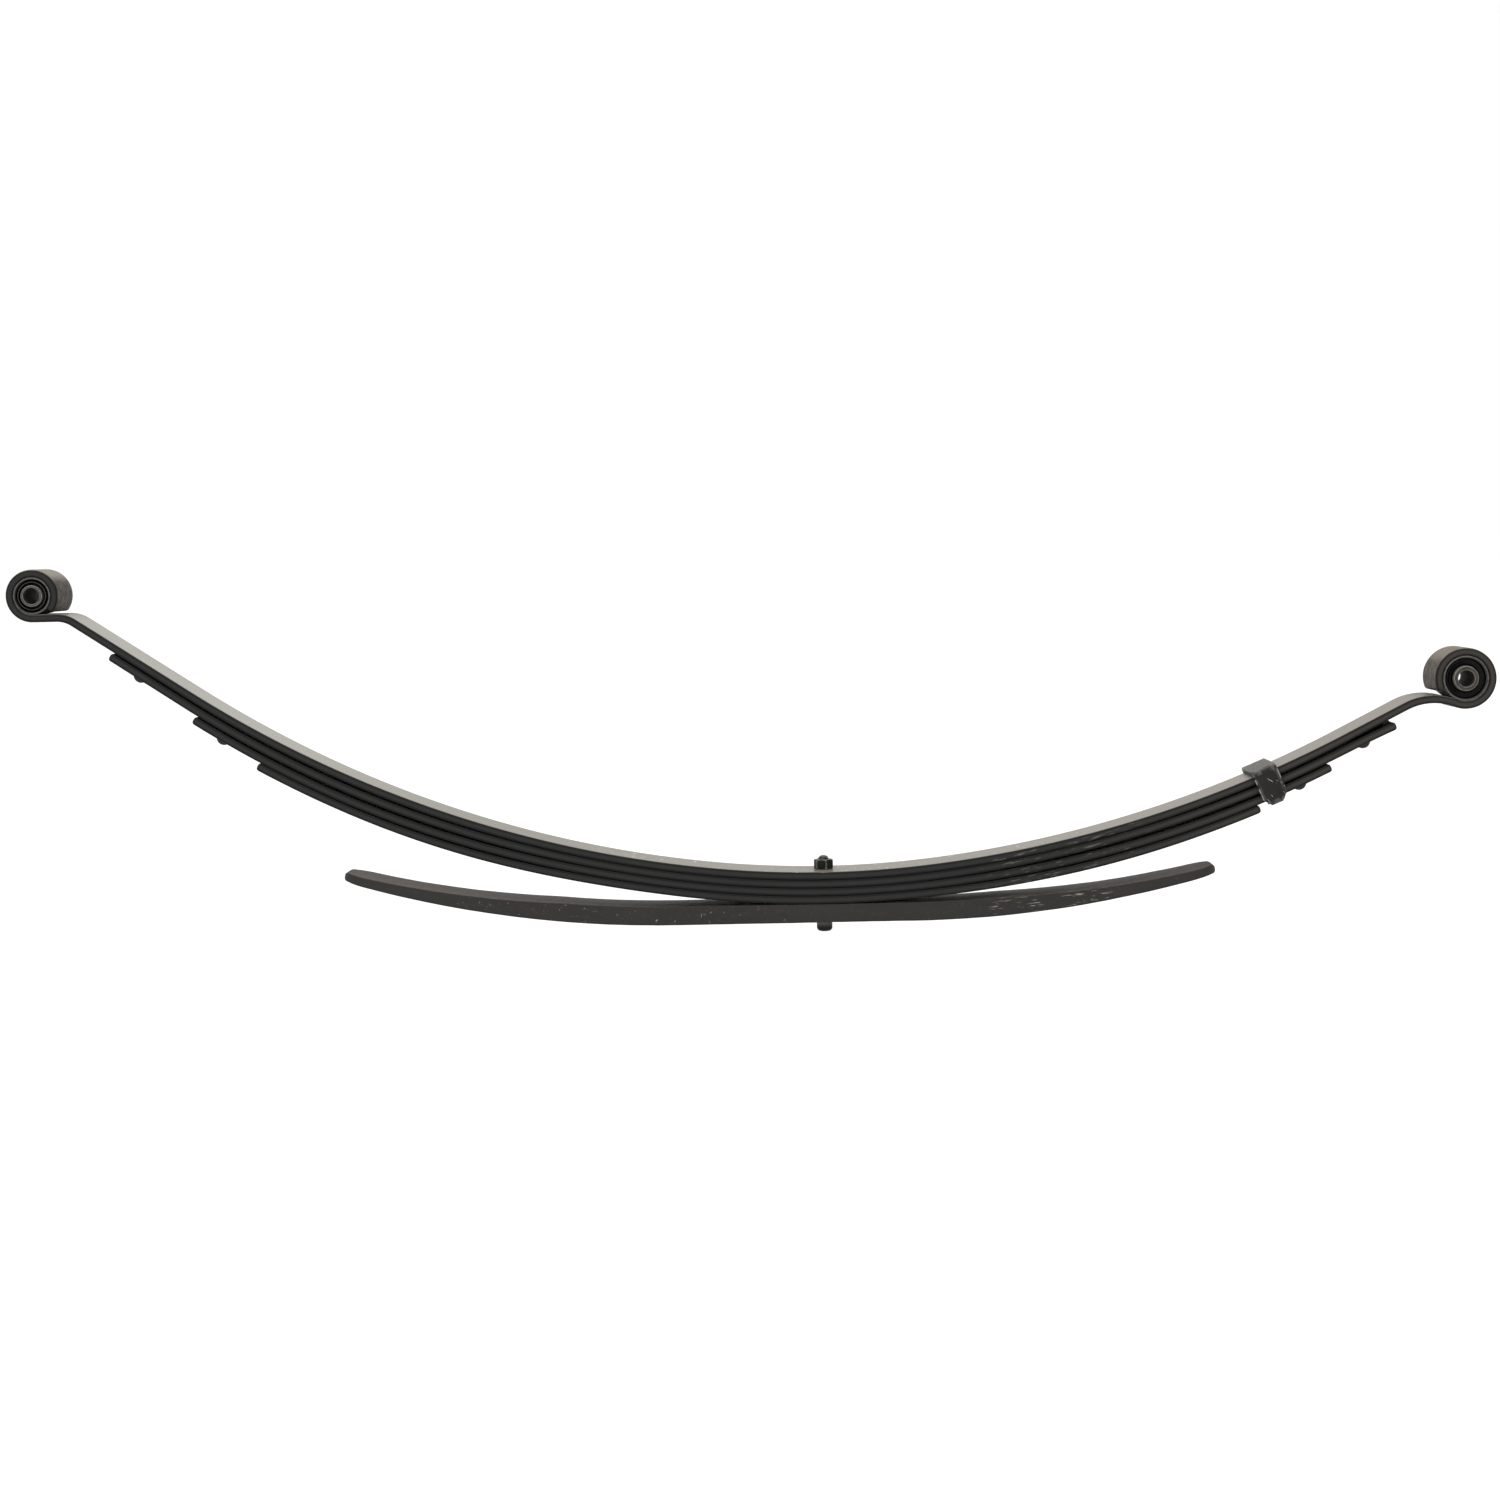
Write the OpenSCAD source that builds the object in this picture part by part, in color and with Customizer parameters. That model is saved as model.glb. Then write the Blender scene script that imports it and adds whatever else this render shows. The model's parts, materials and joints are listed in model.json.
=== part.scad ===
// Four-leaf spring with a thick overload leaf, upturned eyes, rubber bushes,
// tip liners, a rebound clip and a centre bolt.
// Frame: +X towards the short front half, +Z up, Y across the leaves. The origin
// is on the centre-bolt axis, at the flat underside that sits on the axle.

/* [Leaves] */
// Width of every leaf
leaf_w = 63.5; // [55:0.5:75]
// Thickness of each of the four upper leaves
leaf_t = 8; // [7:0.5:9]
// Film of paint and scale between neighbouring leaves
film = 0.05; // [0.03:0.01:0.1]
// Radius of the main leaf's top face over the axle seat
seat_r = 1005; // [905:5:1105]
// Half-angle of the seat arc
seat_angle = 6; // [4:0.5:8]
// Radius of the main leaf's top face along the rear arm
rear_arm_r = 1180; // [1150:5:1210]
// Radius of the main leaf's top face along the front arm
front_arm_r = 1210; // [1150:5:1230]
// Rear reach of leaves 2, 3 and 4 from the centre bolt
rear_reach = [711, 629, 566];
// Front reach of leaves 2, 3 and 4 from the centre bolt
front_reach = [573, 508, 437];
// Most room above leaves 2, 3 and 4 along the rear arm
rear_room = [1.8, 2.2, 1.2];
// Where that room starts, from the centre bolt
rear_room_start = [150, 150, 150];
// Where it would close again
rear_room_end = [930, 760, 570];
// Most room above leaves 2, 3 and 4 along the front arm
front_room = [2.4, 2.4, 1];
// Where that room starts, from the centre bolt
front_room_start = [200, 40, 40];
// Where it would close again
front_room_end = [960, 650, 450];
// How far leaf 2's front tip is set down from the main leaf
tip_drop = 2.2; // [0:0.2:3]
// Length of leaf 2 that is set down
tip_run = 60; // [40:1:64]

/* [Overload leaf] */
// Thickness of the overload leaf between its tapers
overload_t = 19; // [16:0.5:20]
// Thickness of the overload leaf at its tips
overload_tip_t = 8.5; // [6:0.5:10]
// Radius of the overload leaf's underside beyond its flat seat
overload_r = 1130; // [1000:10:1300]
// Rear reach of the overload leaf
overload_rear = 487; // [460:1:500]
// Front reach of the overload leaf
overload_front = 396; // [370:1:410]
// Rear length of the flat seat
flat_rear = 150; // [120:1:180]
// Front length of the flat seat
flat_front = 90; // [70:1:120]
// Length of the taper at each overload tip
overload_taper = 220; // [160:5:230]
// Corner radius of the overload tips, seen from above
overload_corner = 24; // [10:1:28]

/* [Eyes] */
// Height of the rear eye's axis above the axle seat
rear_eye_z = 345; // [342:0.5:347]
// Distance of the rear eye's axis from the centre bolt
rear_eye_x = 788.6; // [785:0.5:792]
// Inside radius of the rear eye
rear_eye_r = 18.5; // [17:0.5:20]
// Straight run between the rear bend and the rear eye
rear_lead = 24; // [16:1:26]
// Radius of the leaf's top face in the rear bend
rear_bend_r = 34; // [30:1:44]
// Height of the front eye's axis above the axle seat
front_eye_z = 232.6; // [230:0.2:235]
// Distance of the front eye's axis from the centre bolt
front_eye_x = 643.6; // [641:0.2:647]
// Inside radius of the front eye
front_eye_r = 22.5; // [21:0.5:24]
// Slope at which the leaf dips into the front eye
front_dip = 22; // [18:1:24]
// Radius of the leaf's top face in the front bend
front_bend_r = 64; // [55:1:68]

/* [Bushes] */
// Bore of both inner sleeves, for M16 bolts
sleeve_bore = 16.3; // [14:0.1:18]
// Outside diameter of the rear inner sleeve
rear_sleeve_d = 21.2; // [20:0.2:24]
// Outside diameter of the front inner sleeve
front_sleeve_d = 24.6; // [22:0.2:28]
// How far each inner sleeve stands out past the leaf, per side
sleeve_stand = 1.5; // [0.5:0.5:3]
// Wall of the outer shells
shell_wall = 1.5; // [1:0.1:2]
// How far the rubber is set back inside its shell
rubber_recess = 3; // [1:0.5:6]

/* [Centre bolt] */
// Shank diameter
bolt_d = 11.1; // [10:0.1:12]
// Diameter of the round locating head
head_d = 15.9; // [14:0.1:18]
// Height of the cylindrical part of the head
head_h = 8; // [5:0.5:10]
// Height of the domed end of the head
head_dome = 4; // [2:0.5:5]
// Depth of the spot face that the head seats in
head_seat = 0.5; // [0.2:0.1:1]
// Width of the nut across its flats
nut_flats = 17.5; // [16:0.5:19]
// Height of the nut
nut_h = 10; // [8:0.5:12]
// Thread end standing above the nut
thread_end = 4; // [2:0.5:6]
// Angle of the nut about the bolt
nut_turn = 46; // [0:1:60]

/* [Clip and liners] */
// Reach of the clip's middle from the centre bolt
clip_reach = 442.5; // [438:0.5:446]
// Width of the clip strap along the leaf
clip_w = 25.5; // [22:0.5:28]
// Thickness of the clip strap
clip_t = 5; // [3:0.5:5]
// Width of the clip's ears, folded under leaf 3
ear_w = 13; // [10:0.5:18]
// Height over which the clip narrows to its ears
ear_neck = 5.5; // [3:0.5:8]
// Distance of a liner button from its leaf's tip
button_inset = 33; // [30:1:40]
// Diameter of a liner button's dome below the leaf
dome_d = 15; // [12:0.5:18]
// Height of a liner button's dome
dome_h = 7.2; // [4:0.1:8]

/* [Hidden] */
$fn = 96;

REAR = -1;
FRONT = 1;
main_top = overload_t + 4 * (leaf_t + film);
seat_centre = [0, main_top + seat_r];
arc_step = 1;
curl_step = 6;
tip_step = 22.5;
tip_parts = 4;
front_curl_end = 205;  // slope turned past upright when the curl stops
rear_curl_end = 220;
fit_gap = 0.03;        // radial room between pressed or nested parts
running_gap = 0.05;    // radial room between a sleeve and its rubber
hole_d = bolt_d + 0.9;
button_d = 10;
button_hole_d = 10.6;

// A path below is measured outwards from the centre bolt, as [distance, height].
// A station on it is [point on the top face, slope of the strip].
function along(a) = [cos(a), sin(a)];
function up(a) = [-sin(a), cos(a)];

function eye(side) = side == REAR ? [rear_eye_x, rear_eye_z] : [front_eye_x, front_eye_z];
function eye_r(side) = side == REAR ? rear_eye_r : front_eye_r;
function dip(side) = side == REAR ? 0 : front_dip;
function lead(side) = side == REAR ? rear_lead : 0;
function bend_r(side) = side == REAR ? rear_bend_r : front_bend_r;
function arm_r(side) = side == REAR ? rear_arm_r : front_arm_r;
function curl_stop(side) = side == REAR ? rear_curl_end : front_curl_end;

// Centre of the main leaf's arm arc, which meets the seat arc without a kink
function arm_centre(side) = seat_centre + (arm_r(side) - seat_r) * up(seat_angle);

// Centre of the bend that turns the main leaf into its eye
function bend_centre(side) =
    eye(side) - (eye_r(side) + bend_r(side)) * up(-dip(side)) - lead(side) * along(-dip(side));

// Slope at which the arm leaves its arc: the common tangent of that arc and the bend
function arm_slope(side) =
    let (span = bend_centre(side) - arm_centre(side))
    atan2(span.y, span.x) + asin((arm_r(side) + bend_r(side)) / norm(span));

function arm_end(side) = arm_centre(side) - arm_r(side) * up(arm_slope(side));

// A place is a distance from the bolt to a point on the main leaf's top face
function main_station(side, place) =
    let (
        on_seat = place <= seat_r * sin(seat_angle),
        on_arc = place < arm_end(side).x,
        slope = on_seat ? asin(place / seat_r)
            : on_arc ? asin((place - arm_centre(side).x) / arm_r(side))
            : arm_slope(side)
    )
    on_seat ? [seat_centre - seat_r * up(slope), slope]
    : on_arc ? [arm_centre(side) - arm_r(side) * up(slope), slope]
    : [arm_end(side) + (place - arm_end(side).x) / cos(slope) * along(slope), slope];

// Room between leaf k and the leaf above it: it opens along the arm and closes again
function room(k, side, place) =
    let (
        most = (side == REAR ? rear_room : front_room)[k - 1],
        start = (side == REAR ? rear_room_start : front_room_start)[k - 1],
        end = (side == REAR ? rear_room_end : front_room_end)[k - 1],
        share = max(0, min(1, (place - start) / (end - start)))
    )
    most * pow(sin(180 * share), 2);

// Extra room where leaf 2's front tip is set down
function tip_room(k, side, place) =
    k == 1 && side == FRONT ? tip_drop * pow(max(0, (place - front_reach[0] + tip_run) / tip_run), 2)
    : 0;

// Gap between leaf k and the leaf above it
function leaf_gap(k, side, place) = film + room(k, side, place) + tip_room(k, side, place);

// Depth of leaf k's top face below the main leaf's; k counts down from the main leaf
function depth(k, side, place) =
    k == 0 ? 0 : leaf_t + leaf_gap(k, side, place) + depth(k - 1, side, place);

// Station on leaf k under a place on the main leaf
function station_under(k, side, place) =
    let (
        s = main_station(side, place),
        lean = (depth(k, side, place + 1) - depth(k, side, place - 1)) / 2 * cos(s[1])
    )
    [s[0] - depth(k, side, place) * up(s[1]), s[1] - atan(lean)];

// Place that lies over a point of leaf k at a given distance from the bolt
function place_over(k, side, x) =
    let (near = x - depth(k, side, x) * sin(main_station(side, x)[1]))
    x - depth(k, side, near) * sin(main_station(side, near)[1]);

// Station on leaf k at a given distance from the bolt
function station(k, side, x) = station_under(k, side, place_over(k, side, x));

// Places along the seat and the arm, one for each step in slope
function places(side) = concat(
    [for (a = [0 : arc_step : seat_angle - arc_step / 4]) seat_r * sin(a)],
    [for (a = [seat_angle : arc_step : arm_slope(side) - arc_step / 4])
        arm_centre(side).x + arm_r(side) * sin(a)],
    [arm_end(side).x]);

// Stations along a plain leaf from its middle to its tip
function leaf_path(k, side, reach) =
    let (
        run_place = place_over(k, side, reach - tip_run),
        arm = [for (place = places(side))
            if (place < run_place - 1) station_under(k, side, place)],
        run = [for (i = [0 : tip_parts])
            station(k, side, reach - tip_run + (tip_run - leaf_t / 2) * i / tip_parts)]
    )
    concat(arm, run);

// Stations along the main leaf from its middle, through the bend and round the eye
function main_path(side) =
    let (
        slope = arm_slope(side),
        arm = [for (place = places(side)) main_station(side, place)],
        turns = ceil((slope + dip(side)) / curl_step),
        bend = [for (i = [0 : turns])
            let (a = slope - (slope + dip(side)) * i / turns)
            [bend_centre(side) + bend_r(side) * up(a), a]],
        sweep = dip(side) + 90 + curl_stop(side),
        curls = ceil(sweep / curl_step),
        inner_r = (eye_r(side) + fit_gap) / cos(sweep / curls / 2),
        curl = [for (i = [0 : curls])
            let (a = sweep * i / curls - dip(side))
            [eye(side) - inner_r * up(a), a]]
    )
    concat(arm, bend, curl);

// Corners of the strip's faces along a path
function top_face(path) = [for (s = path) s[0]];
function under_face(path, t) = [for (s = path) s[0] - t * up(s[1])];

// Round end of a strip, from its top face to its underside
function round_tip(s, t) =
    let (middle = s[0] - t / 2 * up(s[1]))
    [for (a = [90 - tip_step : -tip_step : -90 + tip_step])
        middle + t / 2 * (cos(a) * along(s[1]) + sin(a) * up(s[1]))];

function reversed(list) = [for (i = [len(list) - 1 : -1 : 0]) list[i]];
function placed(points, side) = [for (p = points) [side * p.x, p.y]];

// Outline of one half, from the top of the middle round the end to the underside
function half_outline(path, end, t, side) =
    placed(concat(top_face(path), end, reversed(under_face(path, t))), side);

// A leaf's side view pushed out across its width
module across(width) {
    rotate([90, 0, 0])
        linear_extrude(height = width, center = true)
            children();
}

module leaf_strip(rear_half, front_half) {
    difference() {
        across(leaf_w)
            polygon(concat(front_half, reversed(rear_half)));
        cylinder(h = 4 * main_top, d = hole_d, center = true);
    }
}

// Places children in the frame of a leaf's top face: X outwards, Z along the normal
module on_leaf(k, side, x) {
    s = station(k, side, x);
    multmatrix([
        [side * cos(s[1]), 0, -side * sin(s[1]), side * s[0].x],
        [0, 1, 0, 0],
        [sin(s[1]), 0, cos(s[1]), s[0].y],
        [0, 0, 0, 1]])
        children();
}

// Distance from the bolt to a liner's button on leaf k
function button_x(k, side) =
    let (reach = side == REAR ? rear_reach[k - 1] : front_reach[k - 1])
    reach - button_inset * cos(station(k, side, reach)[1]);

module lower_leaf(k, has_liners) {
    rear = leaf_path(k, REAR, rear_reach[k - 1]);
    front = leaf_path(k, FRONT, front_reach[k - 1]);
    difference() {
        leaf_strip(
            half_outline(rear, round_tip(rear[len(rear) - 1], leaf_t), leaf_t, REAR),
            half_outline(front, round_tip(front[len(front) - 1], leaf_t), leaf_t, FRONT));
        if (has_liners)
            for (side = [REAR, FRONT])
                on_leaf(k, side, button_x(k, side))
                    cylinder(h = 3 * leaf_t, d = button_hole_d, center = true);
    }
}

module main_leaf() {
    color([0.36, 0.35, 0.33])
        leaf_strip(
            half_outline(main_path(REAR), [], leaf_t, REAR),
            half_outline(main_path(FRONT), [], leaf_t, FRONT));
}

module second_leaf() {
    color([0.22, 0.22, 0.22]) lower_leaf(1, true);
}

module third_leaf() {
    color([0.21, 0.22, 0.22]) lower_leaf(2, true);
}

module fourth_leaf() {
    color([0.20, 0.21, 0.21]) lower_leaf(3, false);
}

// Stations along the underside of the overload leaf, each with its thickness
function overload_path(flat, reach) =
    let (last = asin((reach - overload_tip_t / 2 - flat) / overload_r))
    [for (a = concat([for (b = [0 : arc_step : last - arc_step / 4]) b], [last]))
        let (
            x = flat + overload_r * sin(a),
            taper = max(0, (x - reach + overload_taper) / overload_taper)
        )
        [[flat, overload_r] - overload_r * up(a), a,
            overload_t + (overload_tip_t - overload_t) * taper]];

function overload_outline(flat, reach, side) =
    let (
        path = overload_path(flat, reach),
        last = path[len(path) - 1],
        top = [for (s = path) s[0] + s[2] * up(s[1])],
        tip_top = [last[0] + last[2] * up(last[1]), last[1]]
    )
    placed(concat([[0, overload_t]], top, round_tip(tip_top, last[2]),
        reversed([for (s = path) s[0]]), [[0, 0]]), side);

// Plan of the overload leaf: a rectangle with round corners
module overload_plan() {
    length = overload_rear + overload_front;
    middle = (overload_front - overload_rear) / 2;
    translate([middle, 0]) {
        square([length + 2, leaf_w - 2 * overload_corner], center = true);
        square([length - 2 * overload_corner, leaf_w], center = true);
        for (sx = [-1, 1], sy = [-1, 1])
            translate([sx * (length / 2 - overload_corner), sy * (leaf_w / 2 - overload_corner)])
                circle(r = overload_corner);
    }
}

module overload_leaf() {
    color([0.25, 0.23, 0.21])
        difference() {
            intersection() {
                leaf_strip(
                    overload_outline(flat_rear, overload_rear, REAR),
                    overload_outline(flat_front, overload_front, FRONT));
                translate([0, 0, -1])
                    linear_extrude(height = overload_t + 60)
                        overload_plan();
            }
            translate([0, 0, -1])
                cylinder(h = head_seat + 1, d = head_d + 0.6);
        }
}

module center_bolt() {
    thread_top = main_top + nut_h + thread_end;
    head_r = head_d / 2;
    flat_r = head_r - head_dome;
    color([0.13, 0.13, 0.13])
        union() {
            translate([0, 0, -head_h])
                cylinder(h = head_h, r = head_r);
            cylinder(h = head_seat - film, r = head_r - head_seat);
            translate([0, 0, -head_h])
                rotate_extrude()
                    polygon(concat([[0, 0]],
                        [for (a = [0 : 15 : 90])
                            [flat_r + head_dome * cos(a), -head_dome * sin(a)]],
                        [[0, -head_dome]]));
            cylinder(h = thread_top - thread_end / 2, d = bolt_d);
            translate([0, 0, thread_top - thread_end / 2])
                cylinder(h = thread_end / 2, d1 = bolt_d, d2 = bolt_d * 0.6);
        }
}

module center_nut() {
    corner_d = nut_flats / cos(30);
    chamfer = (corner_d - nut_flats) / 2;
    color([0.16, 0.16, 0.16])
        translate([0, 0, main_top + 2 * film])
            difference() {
                intersection() {
                    rotate([0, 0, nut_turn])
                        cylinder(h = nut_h, d = corner_d, $fn = 6);
                    union() {
                        cylinder(h = nut_h - chamfer, d = corner_d + 1);
                        translate([0, 0, nut_h - chamfer])
                            cylinder(h = chamfer, d1 = corner_d + 1, d2 = nut_flats);
                    }
                }
                cylinder(h = 3 * nut_h, d = bolt_d + 2 * running_gap, center = true);
            }
}

// A tube on an eye's axis
module eye_tube(side, outer_r, inner_r, length) {
    translate([side * eye(side).x, 0, eye(side).y])
        rotate([90, 0, 0])
            difference() {
                cylinder(h = length, r = outer_r, center = true);
                cylinder(h = length + 2, r = inner_r, center = true);
            }
}

module bush_shell(side) {
    color([0.30, 0.30, 0.29])
        eye_tube(side, eye_r(side), eye_r(side) - shell_wall, leaf_w);
}

module bush_rubber(side, sleeve_d) {
    color([0.06, 0.06, 0.06])
        eye_tube(side, eye_r(side) - shell_wall - fit_gap, sleeve_d / 2 + running_gap,
            leaf_w - 2 * rubber_recess);
}

module bush_sleeve(side, sleeve_d) {
    color([0.34, 0.31, 0.28])
        eye_tube(side, sleeve_d / 2, sleeve_bore / 2, leaf_w + 2 * sleeve_stand);
}

module rear_bush_shell() { bush_shell(REAR); }
module rear_bush_rubber() { bush_rubber(REAR, rear_sleeve_d); }
module rear_bush_sleeve() { bush_sleeve(REAR, rear_sleeve_d); }
module front_bush_shell() { bush_shell(FRONT); }
module front_bush_rubber() { bush_rubber(FRONT, front_sleeve_d); }
module front_bush_sleeve() { bush_sleeve(FRONT, front_sleeve_d); }

// Moulded tip liner: a round pad over its button, a web and a bar at the leaf's tip
module tip_liner(k, side) {
    pad_d = 24;
    web_w = 12;
    bar_l = 7;
    bar_w = 46;
    room_under = 0.42;
    room_above = 0.3;
    bar_x = button_inset - leaf_t / 2 - bar_l;
    middle = button_x(k, side);
    run = cos(station(k, side, middle)[1]);
    least_gap = min([for (x = [-pad_d / 2, 0, bar_x])
        leaf_gap(k, side, place_over(k, side, middle + x * run))]);
    bar_gap = min([for (x = [bar_x, bar_x + bar_l])
        leaf_gap(k, side, place_over(k, side, middle + x * run))]);
    pad_h = least_gap - room_under - room_above;
    bar_h = bar_gap - room_under - room_above;
    color([0.08, 0.08, 0.08])
        on_leaf(k, side, middle) {
            translate([0, 0, room_under])
                linear_extrude(height = pad_h)
                    union() {
                        circle(d = pad_d);
                        translate([0, -web_w / 2])
                            square([bar_x + 1, web_w]);
                    }
            translate([bar_x, -bar_w / 2, room_under])
                cube([bar_l, bar_w, bar_h]);
            translate([0, 0, -leaf_t - 1])
                cylinder(h = leaf_t + 1 + room_under + pad_h / 2, d = button_d);
            translate([0, 0, -leaf_t - room_above - dome_h])
                intersection() {
                    cylinder(h = dome_h, d = dome_d);
                    translate([0, 0, dome_d / 2 + 0.2])
                        sphere(d = dome_d + 0.4);
                }
        }
}

module second_leaf_rear_liner() { tip_liner(1, REAR); }
module second_leaf_front_liner() { tip_liner(1, FRONT); }
module third_leaf_rear_liner() { tip_liner(2, REAR); }
module third_leaf_front_liner() { tip_liner(2, FRONT); }

// Strap closed over the main leaf, narrowing to two ears that are folded under leaf 3
module rebound_clip() {
    play = 0.8;
    inner_w = leaf_w + 2 * play;
    outer_w = inner_w + 2 * clip_t;
    stack = leaf_t + depth(2, FRONT, clip_reach);
    top = play + clip_t;
    bottom = -stack - play - clip_t;
    ear_gap = 20;
    fold = bottom + clip_t / 2;
    color([0.20, 0.20, 0.19])
        on_leaf(0, FRONT, clip_reach)
            intersection() {
                rotate([90, 0, 90])
                    linear_extrude(height = clip_w + 2, center = true)
                        difference() {
                            clip_outline(outer_w, bottom, top, clip_t + 1);
                            clip_outline(inner_w, bottom + clip_t, top - clip_t, 1);
                            translate([-ear_gap / 2, bottom - 1])
                                square([ear_gap, clip_t + 2]);
                        }
                across(outer_w + 2)
                    polygon([
                        [-clip_w / 2, top + 1], [clip_w / 2, top + 1],
                        [clip_w / 2, fold + ear_neck], [ear_w / 2, fold],
                        [ear_w / 2, bottom - 1], [-ear_w / 2, bottom - 1],
                        [-ear_w / 2, fold], [-clip_w / 2, fold + ear_neck]]);
            }
}

// Rectangle with round corners, from one height to another
module clip_outline(width, low, high, corner) {
    translate([-width / 2 + corner, low])
        square([width - 2 * corner, high - low]);
    translate([-width / 2, low + corner])
        square([width, high - low - 2 * corner]);
    for (x = [-width / 2 + corner, width / 2 - corner], y = [low + corner, high - corner])
        translate([x, y])
            circle(r = corner);
}

main_leaf();
second_leaf();
third_leaf();
fourth_leaf();
overload_leaf();
center_bolt();
center_nut();
rear_bush_shell();
rear_bush_rubber();
rear_bush_sleeve();
front_bush_shell();
front_bush_rubber();
front_bush_sleeve();
second_leaf_rear_liner();
second_leaf_front_liner();
third_leaf_rear_liner();
third_leaf_front_liner();
rebound_clip();
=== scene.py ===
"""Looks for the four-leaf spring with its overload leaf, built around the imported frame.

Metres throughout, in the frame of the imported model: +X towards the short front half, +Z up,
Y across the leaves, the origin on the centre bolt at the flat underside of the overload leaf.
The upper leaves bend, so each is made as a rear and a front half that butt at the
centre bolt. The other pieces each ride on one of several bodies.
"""

import json
import math

import bmesh
import bpy
import numpy as np
from mathutils import Matrix, Vector, noise

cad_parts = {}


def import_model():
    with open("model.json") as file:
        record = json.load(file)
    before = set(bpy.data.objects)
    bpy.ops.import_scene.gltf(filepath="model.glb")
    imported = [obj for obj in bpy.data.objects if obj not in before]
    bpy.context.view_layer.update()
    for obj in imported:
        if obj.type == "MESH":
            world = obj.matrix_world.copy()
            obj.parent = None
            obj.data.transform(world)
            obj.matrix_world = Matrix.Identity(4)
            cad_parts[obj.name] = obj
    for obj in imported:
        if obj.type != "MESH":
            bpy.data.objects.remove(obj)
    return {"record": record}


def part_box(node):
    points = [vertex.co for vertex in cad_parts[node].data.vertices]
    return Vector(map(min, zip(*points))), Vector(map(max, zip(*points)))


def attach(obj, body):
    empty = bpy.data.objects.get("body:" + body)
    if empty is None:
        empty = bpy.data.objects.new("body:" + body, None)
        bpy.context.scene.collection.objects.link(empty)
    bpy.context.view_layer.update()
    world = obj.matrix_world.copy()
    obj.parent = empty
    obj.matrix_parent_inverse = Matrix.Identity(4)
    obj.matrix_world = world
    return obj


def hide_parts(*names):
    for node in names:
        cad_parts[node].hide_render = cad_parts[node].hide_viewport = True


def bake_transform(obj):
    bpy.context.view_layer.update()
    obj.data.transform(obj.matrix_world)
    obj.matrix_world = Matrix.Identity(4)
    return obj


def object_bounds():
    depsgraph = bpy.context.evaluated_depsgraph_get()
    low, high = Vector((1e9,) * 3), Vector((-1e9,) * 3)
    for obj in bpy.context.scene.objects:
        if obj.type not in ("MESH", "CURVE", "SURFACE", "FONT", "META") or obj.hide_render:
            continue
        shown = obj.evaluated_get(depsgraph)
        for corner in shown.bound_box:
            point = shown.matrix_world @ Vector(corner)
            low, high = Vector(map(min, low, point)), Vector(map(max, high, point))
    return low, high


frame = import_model()
CAD_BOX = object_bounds()

# ---- driving sizes
REAR = -1
FRONT = 1
SIDES = (REAR, FRONT)
SIDE_NAME = {REAR: "rear", FRONT: "front"}

LEAF_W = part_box("main_leaf")[1].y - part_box("main_leaf")[0].y
LEAF_T = 0.008
# Least gap between a leaf and the next
FILM = 0.00005
# Arcs of the main leaf's top face, over the seat and along each arm
SEAT_R = 1.005
SEAT_ANGLE = math.radians(6)
ARM_R = {REAR: 1.180, FRONT: 1.210}
# How far leaves 2, 3 and 4 reach from the bolt
REACH = {REAR: (0.711, 0.629, 0.566), FRONT: (0.573, 0.508, 0.437)}
# Most room above leaves 2, 3 and 4, with the places where it starts and would close again
ROOM = {REAR: ((0.0018, 0.150, 0.930), (0.0022, 0.150, 0.760), (0.0012, 0.150, 0.570)),
        FRONT: ((0.0024, 0.200, 0.960), (0.0024, 0.040, 0.650), (0.0010, 0.040, 0.450))}
# Extra drop of leaf 2's front tip, and the stretch over which it comes
TIP_DROP = 0.0022
TIP_RUN = 0.060

OVERLOAD_T = 0.019
OVERLOAD_TIP_T = 0.0085
OVERLOAD_R = 1.130
OVERLOAD_REACH = {REAR: 0.487, FRONT: 0.396}
OVERLOAD_FLAT = {REAR: 0.150, FRONT: 0.090}
OVERLOAD_TAPER = 0.220
OVERLOAD_CORNER = 0.024

# The reverse bend before an eye: its radius, how far down it turns the leaf, and the straight
# piece between it and the eye
BEND_R = {REAR: 0.034, FRONT: 0.064}
DIP = {REAR: 0.0, FRONT: math.radians(22)}
LEAD = {REAR: 0.024, FRONT: 0.0}
# Angle about the eye, from outwards through upwards, at which the rolled leaf ends
CURL_STOP = {REAR: math.radians(220), FRONT: math.radians(205)}
# Gap between the rolled leaf and the shell in it
FIT_GAP = 0.00003

# Distance of a liner's button from its leaf's end
BUTTON_INSET = 0.033
CLIP_REACH = 0.4425
CLIP_W = 0.0255
CLIP_T = 0.005
CLIP_PLAY = 0.0008
BOLT_R = 0.00555
THREAD_PITCH = 0.0018
THREAD_DEPTH = 0.0009

MAIN_TOP = OVERLOAD_T + 4 * (LEAF_T + FILM)
SEAT_CENTRE = np.array([0.0, MAIN_TOP + SEAT_R])
LEAF_NODES = ("main_leaf", "second_leaf", "third_leaf", "fourth_leaf")

# How finely the meshes are cut
LEAF_STEP = 0.006
TURN_STEP = math.radians(4)
CORNER_PARTS = 4
FACE_PARTS = 8
SIDE_PARTS = 3
TIP_PARTS = 9
FLAT_PARTS = 24
TURNED_SEGMENTS = 96

# Rounded strip ends: below 1 they are fuller than a half round, and never thinner than a share
TIP_FULLNESS = 0.75
THINNEST = 0.04
# Most of a half size that a rounded corner takes
CORNER_SHARE = 0.96
# Angles between faces: shading breaks from the first, and edges count as sharp over the others
SMOOTH_LIMIT = math.radians(32)
EDGE_STARTS = math.radians(9)
EDGE_FULL = math.radians(21)
# Vertices nearer the bolt than this lie where two leaf halves butt
JOIN_X = 0.000001
# Broad and fine dents a metre, and how deep the fine ones are beside the broad ones
BROAD_DENTS = 22
FINE_DENTS = 75
FINE_DENT_SHARE = 0.3

ACROSS = (0, 1, 0)


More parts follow.
